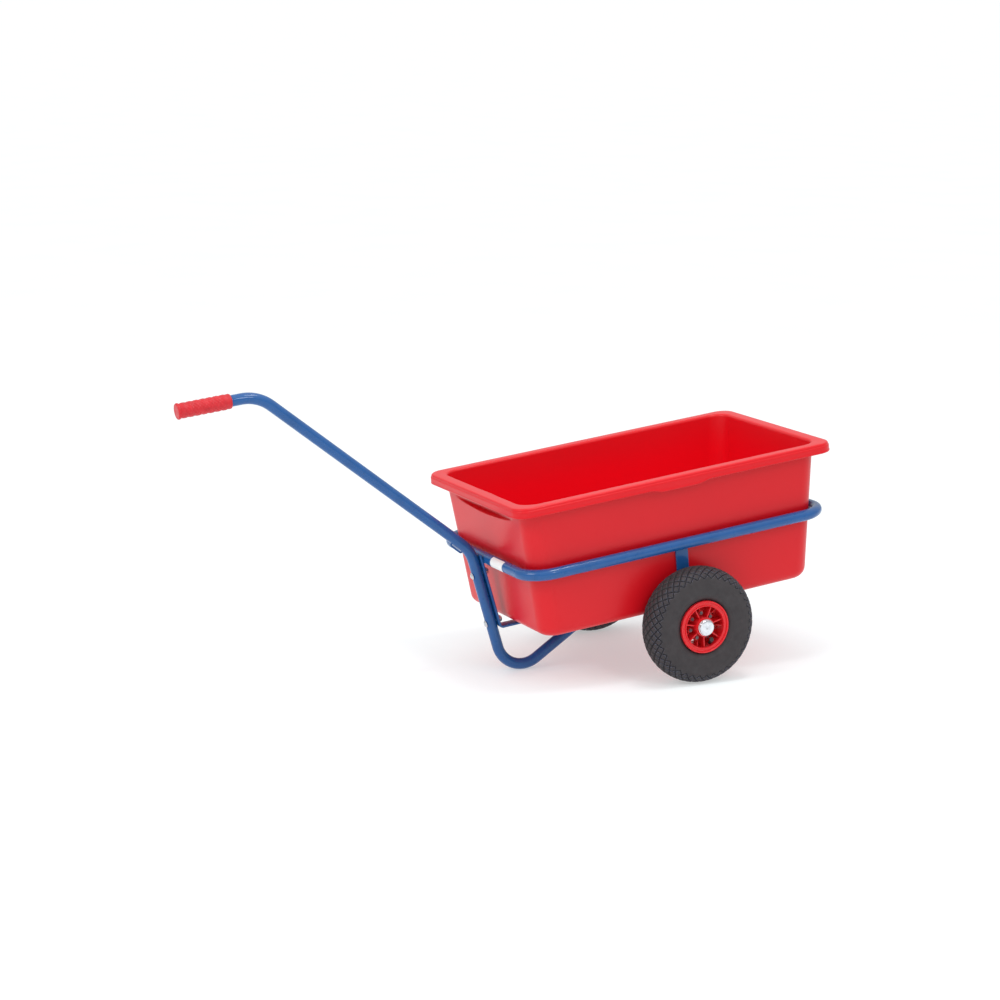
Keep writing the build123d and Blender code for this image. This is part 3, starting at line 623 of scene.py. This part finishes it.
def block(low, high, edge):
    """A box with rounded edges, swept along x."""
    low, high = np.array(low, float), np.array(high, float)
    middle = (low + high) / 2
    size = high - low
    along = np.array((1.0, 0.0, 0.0))
    path = [(np.array((x, middle[1], middle[2])), along) for x in (low[0], high[0])]
    return sweep(path, flat_bar(size[1], size[2], edge), (0, 1, 0), end_round=edge)


rings, inner_shade_share = tub_rings()
tub_shape = Shape().grid(rings)
# Ribs under the floor, which stand just clear of the long strap.
RIB_MARGIN, RIB_COUNT, RIB_HALF, RIB_REACH, RIB_FOOT = 60.0, 8, 2.0, 30.0, 20.05
underside_rear, underside_front = wall_sizes(TUB_BOTTOM, 0)[:2]
for middle in np.linspace(RIB_MARGIN - underside_rear, underside_front - RIB_MARGIN, RIB_COUNT):
    low_corner = (middle - RIB_HALF, -RIB_REACH, RIB_FOOT)
    high_corner = (middle + RIB_HALF, RIB_REACH, TUB_BOTTOM + 1)
    shape = block(low_corner, high_corner, 0.6)
    tub_shape.add(np.concatenate(shape.verts), shape.faces)
tub_shape.piece("tub_shell", tub_red, "tub", "tub_plastic", "tub", sharp=60, inside=inner_shade_share)

# ------------------------------------------------------------------ ring and straps
TUBE = 12.5
STRAP_WIDTH, STRAP, BEND = 30.0, 5.0, 8.0
RING_HEIGHT, CLEARANCE, STRAP_RISE = 179.0, 0.6, 6.0
RING_GAP = CLEARANCE + STRAP + TUBE
RING_CORNER = WALL_CORNER + RING_GAP
ring_sizes = wall_sizes(RING_HEIGHT, 0) + RING_GAP
RING_REAR, RING_FRONT, RING_HALF = ring_sizes[:3]
SIDE = (0, 1, 0)
LEAN = math.radians(9.6)  # of the drawbar's leg, from the vertical
leg_down = np.array((math.sin(LEAN), 0, -math.cos(LEAN)))
leg_back = np.array((-math.cos(LEAN), 0, -math.sin(LEAN)))
ring_rear_point = np.array((-RING_REAR, 0, RING_HEIGHT))
leg_point = ring_rear_point + leg_back * (2 * TUBE + STRAP)
strap_point = ring_rear_point + leg_back * (TUBE + STRAP / 2)
# Heights of the middle of both straps and of the drawbar, where they run under the tub.
CROSS_RUN, LONG_RUN, RUN_HEIGHT = 12.5, 17.5, 2.5


def on_leg(start, height):
    """The point at a height, on the line through start that leans like the leg."""
    return start + leg_down * ((start[2] - height) / math.cos(LEAN))


def inner_strap(ring_place, lean, run):
    """Top and foot of a strap inside the ring, as (distance out, height)."""
    offset = TUBE + STRAP / 2
    middle = np.array((ring_place - offset * math.cos(lean), RING_HEIGHT + offset * math.sin(lean)))
    top = middle + np.array((math.sin(lean), math.cos(lean))) * STRAP_RISE
    foot = middle - np.array((math.tan(lean), 1.0)) * (middle[1] - run)
    return top, foot


tub_height = TUB_TOP - TUB_BOTTOM
front_lean = math.atan2(TAPER_FRONT, tub_height)
side_lean = math.atan2(TAPER_SIDE, tub_height)
front_top, front_foot = inner_strap(RING_FRONT, front_lean, LONG_RUN)
cross_top, cross_foot = inner_strap(RING_HALF, side_lean, CROSS_RUN)


RIPPLE, RIPPLE_PITCH = 0.10, 2.6


def bead(start, end, radius):
    """A weld bead: rippled, thin at its ends."""
    start, end = np.array(start, float), np.array(end, float)
    length = np.linalg.norm(end - start)
    along = unit(end - start)
    up = unit(np.cross(along, (0.3, 0.5, 0.8)))
    out = np.cross(along, up)
    rows = []
    steps = max(12, int(length / 0.6))
    section = circle(1.0, 12)
    for s in range(steps + 1):
        t = s / steps
        ripple = 1 + RIPPLE * math.cos(2 * math.pi * length * t / RIPPLE_PITCH)
        size = radius * ripple * max(math.sin(math.pi * t), 0.0) ** 0.25 + 0.05
        rows.append(start + along * length * t + size * (section[:, :1] * up + section[:, 1:] * out))
    return Shape().grid(np.array(rows))


ring_corners = [
    (RING_FRONT, -RING_HALF, RING_HEIGHT),
    (RING_FRONT, RING_HALF, RING_HEIGHT),
    (-RING_REAR, RING_HALF, RING_HEIGHT),
    (-RING_REAR, -RING_HALF, RING_HEIGHT),
]
ring_path = bent_path(ring_corners, [RING_CORNER] * 4, closed=True)
ring_shape = sweep(ring_path, circle(TUBE), (0, 0, 1), closed=True)
WELD_HALF = 14.0  # half the length of the welds across a strap
under_ring = RING_HEIGHT - 6.4
side_out = RING_HALF - TUBE - 1.0
front_out = RING_FRONT - TUBE - 1.9
ring_welds = []
for y in (side_out, -side_out):
    ring_welds.append(bead((-WELD_HALF, y, under_ring), (WELD_HALF, y, under_ring), 2.6))
ring_welds.append(bead((front_out, -WELD_HALF, under_ring), (front_out, WELD_HALF, under_ring), 2.6))
for height in (RING_HEIGHT - 7.0, RING_HEIGHT + 7.0):
    seat = on_leg(strap_point - leg_back * (STRAP / 2 + 1.2), height)
    ring_welds.append(bead(seat + (0, -WELD_HALF, 0), seat + (0, WELD_HALF, 0), 2.4))
joined(ring_shape, *ring_welds).piece("ring_tube", blue_paint, "cart_frame", "blue_paint", "frame_ring")

# A blank white sticker, wrapped round the outer side of the ring's rear run.
STICKER_FROM, STICKER_TO, STICKER_LIFT = -50.0, -110.0, 0.25
STICKER_SUNK = 0.1
sticker_front = arc((-RING_REAR, RING_HEIGHT), TUBE + STICKER_LIFT, 100, 225, 25)
sticker_back = arc((-RING_REAR, RING_HEIGHT), TUBE - STICKER_SUNK, 225, 100, 25)
loop = np.array(sticker_front + sticker_back)
sticker = Shape().grid(np.array([np.insert(loop, 1, y, axis=1) for y in (STICKER_FROM, STICKER_TO)]))
sticker.piece("blank_sticker", white_film, "cart_frame", "bush_plastic", sharp=50)

long_points = [
    on_leg(strap_point, RING_HEIGHT + TUBE),
    on_leg(strap_point, LONG_RUN),
    (front_foot[0], 0, front_foot[1]),
    (front_top[0], 0, front_top[1]),
]
strap_section = flat_bar(STRAP_WIDTH, STRAP)
long_shape = sweep(bent_path(long_points, [BEND] * 2), strap_section, SIDE, end_round=0.8)
long_shape.piece("strap_long", blue_paint, "cart_frame", "blue_paint", "long_strap")

cross_points = [
    (0, cross_top[0], cross_top[1]),
    (0, cross_foot[0], cross_foot[1]),
    (0, -cross_foot[0], cross_foot[1]),
    (0, -cross_top[0], cross_top[1]),
]
cross_shape = sweep(bent_path(cross_points, [BEND] * 2), strap_section, (1, 0, 0), end_round=0.8)
# The cross strap is welded along both sides of the axle that lies under it.
AXLE_WELD_PLACE, AXLE_WELD_HALF = 150.0, 25.0
axle_welds = []
for x in (4.9, -4.9):
    for y in (AXLE_WELD_PLACE, -AXLE_WELD_PLACE):
        seat = np.array((x, y, 8.8))
        reach = np.array((0, AXLE_WELD_HALF, 0))
        axle_welds.append(bead(seat - reach, seat + reach, 2.2))
joined(cross_shape, *axle_welds).piece("strap_cross", blue_paint, "cart_frame", "blue_paint", "cross_strap")

# ------------------------------------------------------------------ drawbar and grip
SHAFT = math.radians(44.4)  # slope of the shaft
GRIP_HEIGHT, GRIP_LENGTH, GRIP_WALL, HANDLE_RUN, RUN_CORNER = 638.0, 123.0, 4.0, 181.9, 128.3
KNEE_HEIGHT, FOOT_DROP, RUN_END = 203.0, 113.7, 40.0
DRAWBAR_BENDS = [92.0, 85.0, 63.0, 70.0]  # radii at the handle, knee, foot and run
shaft_up = np.array((-math.cos(SHAFT), 0, math.sin(SHAFT)))
knee = on_leg(leg_point, KNEE_HEIGHT)
foot_corner = on_leg(leg_point, -FOOT_DROP)
handle_corner = knee + shaft_up * ((GRIP_HEIGHT - KNEE_HEIGHT) / math.sin(SHAFT))
run_corner = np.array((-RUN_CORNER, 0, RUN_HEIGHT))
foot_rise = math.atan2(run_corner[2] - foot_corner[2], run_corner[0] - foot_corner[0])
run_start = run_corner[0] + DRAWBAR_BENDS[3] * math.tan(foot_rise / 2)
GRIP_REAR = HANDLE_RUN - handle_corner[0]
drawbar_points = [
    (-GRIP_REAR + GRIP_WALL, 0, GRIP_HEIGHT),
    handle_corner,
    knee,
    foot_corner,
    run_corner,
    (-RUN_END, 0, RUN_HEIGHT),
]
drawbar_path = bent_path(drawbar_points, DRAWBAR_BENDS)
drawbar_shape = sweep(drawbar_path, circle(TUBE), SIDE)
drawbar_shape.piece("drawbar_tube", blue_paint, "cart_frame", "blue_paint", "drawbar")

plug_profile = [(0.02, -3.0), (TUBE - 3.0, -3.0), (TUBE, -0.3), (TUBE, 0.6)]
plug_profile += arc((TUBE - 1.4, 1.1), 1.4, 0, 90, 5) + [(4.0, 2.5), (0.02, 2.5)]
plug = lathe(plug_profile, (-RUN_END, 0, RUN_HEIGHT), (1, 0, 0))
plug.piece("end_plug", black_plastic, "cart_frame", "black_plastic", "drawbar_end_plug")

GRIP_RADIUS, LIP_RADIUS, WAVES, SWELL = 16.5, 17.6, 7, 1.0
PEBBLE, PEBBLES_AROUND, PEBBLE_PITCH = 0.45, 12, 7.4


def make_grip():
    """The grip: a flanged rear end, swells for the fingers, and staggered pebbles."""
    around = 144
    angles = np.arange(around) * 2 * math.pi / around
    stations = [(0.02, 0.0), (8.0, 0.0), (LIP_RADIUS - 3.0, 0.0)]
    stations += arc((LIP_RADIUS - 2.5, 2.5), 2.5, -90, 0, 6)
    stations += [(LIP_RADIUS, 4.6), (LIP_RADIUS - 0.5, 5.6)]
    stations += [(GRIP_RADIUS - 1.0, 6.4), (GRIP_RADIUS - 1.0, 7.2)]
    start, end = 8.0, GRIP_LENGTH - 11.0
    stations += [(None, height) for height in np.arange(start, end, 0.8)]
    stations += [(GRIP_RADIUS - 0.2, GRIP_LENGTH - 8.0)]
    stations += arc((GRIP_RADIUS - 4.2, GRIP_LENGTH - 6.0), 4.0, 0, 80, 8)
    stations += [(TUBE + 0.1, GRIP_LENGTH - 1.9), (TUBE - 0.4, GRIP_LENGTH - 2.4)]
    rows = []
    for radius, height in stations:
        if radius is None:
            share = (height - start) / (end - start)
            swell = SWELL * math.sin(math.pi * WAVES * share) ** 2
            fade = min(1.0, 8 * share, 8 * (1 - share))
            turned = np.cos(PEBBLES_AROUND * angles)
            pebble = PEBBLE * turned * math.cos(2 * math.pi * (height - start) / PEBBLE_PITCH)
            radii = GRIP_RADIUS - 0.7 + swell + pebble * fade
        else:
            radii = np.full(around, radius)
        x = -GRIP_REAR + height
        rows.append(
            np.stack(
                [np.full(around, x), radii * np.cos(angles), GRIP_HEIGHT + radii * np.sin(angles)],
                axis=1,
            )
        )
    return Shape().grid(np.array(rows))


make_grip().piece("grip_sleeve", grip_red, "cart_frame", "grip_vinyl", "hand_grip")

EYE_ROD, EYE_SPAN, EYE_REACH, EYE_PLACE, EYE_BEND = 4.0, 36.0, 6.5, 32.0, 3.5
under_shaft = np.array((-shaft_up[2], 0, shaft_up[0]))
eye_high = EYE_PLACE + EYE_SPAN / 2 - EYE_ROD / 2
eye_low = EYE_PLACE - EYE_SPAN / 2 + EYE_ROD / 2
eye_out = TUBE + EYE_REACH - EYE_ROD / 2
eye_points = [
    knee + shaft_up * eye_high + under_shaft * (TUBE - 1),
    knee + shaft_up * eye_high + under_shaft * eye_out,
    knee + shaft_up * eye_low + under_shaft * eye_out,
    knee + shaft_up * eye_low + under_shaft * (TUBE - 1),
]
eye_path = bent_path(eye_points, [EYE_BEND] * 2, step=math.radians(10))
eye_shape = sweep(eye_path, circle(EYE_ROD / 2, 20), SIDE)
eye_shape.piece("eye_wire", blue_paint, "cart_frame", "blue_paint", "wire_eye")

# ------------------------------------------------------------------ bolts
HEAD, HEAD_HEIGHT, BOLT, WASHER, WASHER_THICK = 8.0, 4.4, 4.0, 8.0, 1.6
NUT_HALF, NUT_HEIGHT, THREAD_BEYOND, PITCH = 6.5, 6.5, 2.0, 1.25
THREAD_LENGTH, THREAD_DEPTH = 12.0, 0.45
LEG_BOLTS, RUN_BOLTS = (146.0, 31.0), (11.5, 45.5)


def dome_bolt(place, axis, seat):
    """A dome-head bolt whose head sits at a distance along the axis from a place."""
    dome = arc_radius(HEAD, HEAD_HEIGHT)
    end = seat - (2 * TUBE + STRAP + WASHER_THICK + NUT_HEIGHT + THREAD_BEYOND)
    height = end + 0.8
    profile = [(0.02, end), (BOLT - 0.9, end), (BOLT - 0.1, height)]
    while height < end + THREAD_LENGTH:
        profile += [(BOLT - THREAD_DEPTH, height + PITCH * 0.5), (BOLT - 0.02, height + PITCH)]
        height += PITCH
    profile += [(BOLT, seat), (HEAD - 0.25, seat), (HEAD, seat + 0.25), (HEAD, seat + 0.5)]
    for s in range(1, 9):
        radius = (HEAD - 0.1) * math.cos(math.radians(90 * s / 8))
        rise = math.sqrt(dome**2 - radius**2) - (dome - HEAD_HEIGHT)
        profile.append((radius, seat + max(rise, 0.5)))
    return lathe(profile, place, axis, 40)


def washer(place, axis, seat):
    """A washer with broken edges, whose outer face is at the seat."""
    hole, edge = BOLT + 0.2, 0.3
    profile = [(hole, seat), (WASHER - edge, seat), (WASHER, seat - edge)]
    profile += [(WASHER, seat - WASHER_THICK + edge), (WASHER - edge, seat - WASHER_THICK)]
    profile += [(hole, seat - WASHER_THICK)]
    return lathe(profile, place, axis, 40, closed=True)


def hex_nut(place, axis, seat):
    """A hexagon nut with its corners chamfered."""
    axis = unit(axis)
    first = unit(np.cross(axis, SIDE))
    second = np.cross(axis, first)
    around = 72
    angles = np.arange(around) * 2 * math.pi / around
    flats = NUT_HALF / np.cos((angles + math.pi / 6) % (math.pi / 3) - math.pi / 6)
    rows = []
    chamfer = [(BOLT + 0.05, 0), (6.1, 0), (6.7, 0.35), (7.1, 0.7), (7.6, 1.2)]
    stations = chamfer + [(limit, NUT_HEIGHT - depth) for limit, depth in chamfer[::-1]]
    for limit, depth in stations:
        radii = np.minimum(flats, limit)[:, None]
        ring = np.cos(angles)[:, None] * first + np.sin(angles)[:, None] * second
        rows.append(np.asarray(place) + axis * (seat - depth) + ring * radii)
    return Shape().grid(np.array(rows), closed=True)


def fasteners(prefix, places, axis, head_seat, washer_seat):
    """The bolts, washers and nuts at some places, as one piece of each kind."""
    bolts = joined(*[dome_bolt(p, axis, head_seat) for p in places])
    bolts.piece(prefix + "_bolt_set", zinc, "cart_frame", "zinc", prefix + "_bolts")
    rings = joined(*[washer(p, axis, washer_seat) for p in places])
    rings.piece(prefix + "_washer_set", zinc, "cart_frame", "zinc", prefix + "_washers")
    nuts = joined(*[hex_nut(p, axis, washer_seat - WASHER_THICK) for p in places])
    nuts.piece(prefix + "_nut_set", zinc, "cart_frame", "zinc", prefix + "_nuts")


leg_places = [on_leg(leg_point, height) for height in LEG_BOLTS]
run_places = [np.array((run_start + place, 0, RUN_HEIGHT)) for place in RUN_BOLTS]
fasteners("leg", leg_places, leg_back, TUBE, -TUBE - STRAP)
fasteners("run", run_places, (0, 0, 1), TUBE + STRAP, -TUBE)

# ------------------------------------------------------------------ wheels
HALF_TRACK = joints["left_wheel_spin"]["pos_m"][1] / MM
CAP_RADIUS, CAP_SEAT, CAP_HEIGHT = 18.5, 39.3, 5.5
cap_profile = [(0.02, 0.6), (17.2, 0.6), (17.4, 0.0), (CAP_RADIUS - 0.2, 0.0), (CAP_RADIUS, 0.3)]
cap_profile += [(CAP_RADIUS, 1.1), (CAP_RADIUS - 0.9, 1.5), (CAP_RADIUS - 1.0, 3.0)]
cap_profile += arc((CAP_RADIUS - 3.2, 3.0), 2.2, 0, 75, 6)
cap_profile += [(11.0, 5.32), (6.0, 5.48), (3.2, CAP_HEIGHT)]
cap_profile += [(2.4, 5.3), (1.6, 4.7), (0.8, 4.4), (0.02, 4.3)]  # the dimple in its middle
cap_shapes = []
for side in (1, -1):
    place = (0, side * (HALF_TRACK + CAP_SEAT), 0)
    cap_shapes.append(lathe(cap_profile, place, (0, side, 0), 72))
joined(*cap_shapes).piece("cap_pair", bright_zinc, "cart_frame", "cap_metal", "hub_caps", sharp=50)

# Half of the tyre's section, from its bead to its crown: (out from its middle, radius).
TYRE_OUTLINE = (
    (27.6, 52.0),
    (28.0, 58.6),
    (31.6, 61.6),
    (35.6, 67.5),
    (38.6, 76.0),
    (39.9, 88.0),
    (39.5, 99.0),
    (37.7, 109.0),
    (33.6, 117.6),
    (27.4, 123.2),
    (19.0, 127.2),
    (9.6, 129.4),
    (0.0, 130.0),
)
DIAMONDS, DIAMOND_WIDTH, GROOVE, GROOVE_DEPTH, TREAD_EDGE = 40, 18.5, 1.9, 3.0, 49.0
LAND = 0.35  # the tread above the carcass
SECTION_MIDDLE, TREAD_RADIUS = 88.0, 128.0
# Rings on the sidewall, as (radius, width, height), which lie this far out.
WALL_RINGS, WALL_RINGS_OUT = ((72.0, 0.9, 0.55), (96.0, 0.8, 0.4)), 34.0


def smooth_line(points, spacing):
    """An evenly spaced Catmull-Rom line, and how far each point is from its end."""
    pts = np.asarray(points, float)
    pts = np.concatenate([2 * pts[:1] - pts[1:2], pts, 2 * pts[-1:] - pts[-2:-1]])
    out = []
    for i in range(1, len(pts) - 2):
        a, b, c, d = pts[i - 1 : i + 3]
        for t in np.linspace(0, 1, 24, endpoint=False):
            bend = (2 * a - 5 * b + 4 * c - d) * t**2 + (3 * b - a - 3 * c + d) * t**3
            out.append(0.5 * (2 * b + (c - a) * t + bend))
    out.append(pts[-2])
    out = np.array(out)
    lengths = np.concatenate([[0], np.cumsum(np.linalg.norm(np.diff(out, axis=0), axis=1))])
    even = np.linspace(0, lengths[-1], int(lengths[-1] / spacing) + 1)
    return np.stack([np.interp(even, lengths, out[:, k]) for k in range(2)], axis=1), lengths[-1] - even


def make_tyre(side):
    """A tyre, and how far each point lies on a block's edge, for a painted highlight, and in a groove, for
    painted shade, from 0 to 1.

    The tread's crossing grooves run over the crown and shoulders. s is the distance from
    the crown along the section, and turns counts diamonds around the tyre.
    """
    half_line, from_crown = smooth_line(TYRE_OUTLINE, 1.05)
    outline = np.concatenate([half_line, (half_line * (-1, 1))[-2::-1]])
    across = np.concatenate([from_crown, -from_crown[-2::-1]])
    tangent = np.gradient(outline, axis=0)
    normal = np.stack([-tangent[:, 1], tangent[:, 0]], axis=1)
    normal /= np.linalg.norm(normal, axis=1)[:, None]
    outward = np.sign(np.sum(normal * (outline - (0.0, SECTION_MIDDLE)), axis=1))
    normal *= outward[:, None]
    around = 832  # points round the tyre
    angles = np.arange(around) * 2 * math.pi / around
    turns = DIAMONDS * angles / (2 * math.pi)
    steep = math.hypot(1 / DIAMOND_WIDTH, DIAMONDS / (2 * math.pi * TREAD_RADIUS))
    rows, edges, grooves = [], [], []
    for (y, r), (ny, nr), s in zip(outline, normal, across):
        depth = np.zeros(around)
        for hand in (1, -1):
            line = turns + hand * s / DIAMOND_WIDTH
            away = np.abs(line - np.round(line)) / steep
            depth = np.maximum(depth, 1 - smooth(away, GROOVE * 0.35, GROOVE * 1.25))
        # Blocks end in a zigzag at the shoulder.
        edge = TREAD_EDGE - 2.5 * np.abs(np.abs(turns * 2 % 2 - 1) * 2 - 1)
        depth *= 1 - smooth(abs(s), edge - 1.5, edge + 1.0)
        # lip marks the blocks' edges for the painted highlight; the groove share sets the painted shade.
        lip = smooth(depth, 0.02, 0.25) * (1 - smooth(depth, 0.3, 0.7))
        shoulder = smooth(abs(s), 12, 26) * (1 - smooth(abs(s), TREAD_EDGE - 8, TREAD_EDGE))
        edges.append(lip * shoulder)
        grooves.append(smooth(depth, 0.35, 0.9))
        depth *= GROOVE_DEPTH * (1 - 0.35 * smooth(abs(s), 30, 46))
        land = LAND * (1 - smooth(abs(s), TREAD_EDGE - 3, TREAD_EDGE + 1))
        rings = 0.0
        if abs(y) > WALL_RINGS_OUT:
            rings = sum(high * math.exp(-(((r - at) / wide) ** 2)) for at, wide, high in WALL_RINGS)
        moved = rings - depth - LAND + land
        rows.append(
            np.stack(
                [
                    (r + nr * moved) * np.cos(angles),
                    np.full(around, side * HALF_TRACK) + y + ny * moved,
                    (r + nr * moved) * np.sin(angles),
                ],
                axis=1,
            )
        )
    shape = Shape().grid(np.array(rows), closed=True)
    return shape, np.concatenate(edges), np.concatenate(grooves)


FLANGE_RADIUS, BARREL_RADIUS, RIM_FACE, SPOKES, SPOKE_START = 59.0, 46.8, 34.9, 7, 170.0
MID_RIB_IN, MID_RIB_OUT, MID_RIB_FACE, MID_RIB_BACK, MID_RIB_HALF = 35.0, 47.5, 24.0, 8.0, 0.9


def make_rim_trim(side):
    """The bead round the flange's edge, the step inside it, and the short ribs between spokes."""
    centre = (0, side * HALF_TRACK, 0)
    behind = RIM_FACE - 2.0
    lip = [(FLANGE_RADIUS - 4.6, RIM_FACE - 1.0), (FLANGE_RADIUS - 4.2, RIM_FACE + 0.2)]
    lip += arc((FLANGE_RADIUS - 2.2, RIM_FACE - 0.3), 1.9, 150, 0, 8)
    lip += [(FLANGE_RADIUS - 0.3, behind), (FLANGE_RADIUS - 4.6, behind)]
    step = [(BARREL_RADIUS - 0.4, behind), (BARREL_RADIUS - 0.4, RIM_FACE - 0.2)]
    step += arc((BARREL_RADIUS + 0.9, RIM_FACE - 0.3), 1.2, 170, 10, 8)
    step += [(BARREL_RADIUS + 2.2, behind)]
    shapes = [lathe(profile[::-1], centre, (0, side, 0), 96, closed=True) for profile in (lip, step)]
    for rib in range(SPOKES):
        angle = math.radians(SPOKE_START + 360 / SPOKES * (rib + 0.5))
        along = np.array((-side * math.cos(angle), 0, math.sin(angle)))
        half = np.cross(along, (0, 1, 0)) * MID_RIB_HALF
        corners = []
        for reach, face in ((MID_RIB_IN, MID_RIB_FACE - 4), (MID_RIB_OUT, MID_RIB_FACE)):
            foot = np.array(centre) + along * reach + np.array((0, side * MID_RIB_BACK, 0))
            head = np.array(centre) + along * reach + np.array((0, side * face, 0))
            corners.append([foot - half, foot + half, head + half * 0.7, head - half * 0.7])
        # The left wheel is a mirror image, so its faces are turned round.
        if side > 0:
            corners = corners[::-1]
        shapes.append(Shape().grid(np.array(corners)))
    return joined(*shapes)


for side, name in ((1, "left"), (-1, "right")):
    tyre, edges, grooves = make_tyre(side)
    # The edge and groove shares carry the tyre's painted highlight and painted shade.
    sharp_and_painted_light = {"sharp": 75, "edge": edges, "groove": grooves}
    tyre.piece(name + "_tyre_cover", tyre_black, name + "_wheel", "tyre", name + "_tyre", **sharp_and_painted_light)
    make_rim_trim(side).piece(name + "_rim_trim", rim_red, name + "_wheel", "rim_plastic", sharp=35)

# ------------------------------------------------------------------ carried-over CAD nodes
CARRIED = {
    "axle": zinc,
    "axle_collars": zinc,
    "axle_washers": zinc,
    "rim_outer": rim_red,
    "rim_inner": rim_red,
    # The rim's screws take the darkened zinc: painted shade.
    "rim_screws": zinc_painted_shade,
    "hub_bushes": nylon,
    "inner_tube": valve_rubber,
    "valve_stem": valve_rubber,
    "valve_cap": valve_rubber,
}
for node_name, node in nodes.items():
    key = node_name.removeprefix("left_").removeprefix("right_")
    if key in CARRIED:
        node.data.materials.clear()
        node.data.materials.append(CARRIED[key])

# ------------------------------------------------------------------ floor and light
FLOOR_HALF = 300.0
floor_mesh = bpy.data.meshes.new("floor")
corners = [(-1, -1), (1, -1), (1, 1), (-1, 1)]
floor_mesh.from_pydata([(x * FLOOR_HALF, y * FLOOR_HALF, 0) for x, y in corners], [], [(0, 1, 2, 3)])
floor = bpy.data.objects.new("floor", floor_mesh)
bpy.context.scene.collection.objects.link(floor)
floor_shader = Shader("floor_pale", Roughness=0.85)
floor_shader.surface.inputs["Specular IOR Level"].default_value = 0.1
floor_shader.surface.inputs["Emission Color"].default_value = (1, 1, 1, 1)
floor_shader.surface.inputs["Emission Strength"].default_value = 0.42
floor_shader.colours(
    floor_shader.noise(3.0, 2.0), (0.3, (0.55, 0.60, 0.61)), (0.7, (0.57, 0.61, 0.62))
)
floor_mesh.materials.append(floor_shader.material)

# The studio is brightest overhead and dimmer towards its walls.
world = bpy.data.worlds.new("studio")
bpy.context.scene.world = world
world.use_nodes = True
sky = world.node_tree
direction = sky.nodes.new("ShaderNodeTexCoord")
split = sky.nodes.new("ShaderNodeSeparateXYZ")
strength = sky.nodes.new("ShaderNodeMapRange")
for key, value in (("From Min", 0.0), ("From Max", 1.0), ("To Min", 0.50), ("To Max", 1.28)):
    strength.inputs[key].default_value = value
sky.links.new(direction.outputs["Generated"], split.inputs["Vector"])
sky.links.new(split.outputs["Z"], strength.inputs["Value"])
sky.nodes["Background"].inputs["Color"].default_value = (1, 1, 1, 1)
sky.links.new(strength.outputs["Result"], sky.nodes["Background"].inputs["Strength"])


def softbox(name, place, target, size, power):
    """A rectangular area light at a place, facing a target."""
    light = bpy.data.lights.new(name, "AREA")
    light.shape = "RECTANGLE"
    light.size, light.size_y = size
    light.energy = power
    obj = bpy.data.objects.new(name, light)
    bpy.context.scene.collection.objects.link(obj)
    obj.location = place
    obj.rotation_mode = "QUATERNION"
    obj.rotation_quaternion = (Vector(target) - Vector(place)).to_track_quat("-Z", "Y")


softbox("rear_light", (-3.0, -0.6, 2.4), (0.0, 0, 0.4), (1.4, 1.0), 27.0)
softbox("overhead_strip", (0.47, -0.6, 2.8), (0.3, -0.2, 0.3), (0.9, 0.30), 15.0)
softbox("front_strip", (0.43, -2.45, 2.1), (-0.6, 0, 0.66), (0.5, 0.30), 8.0)
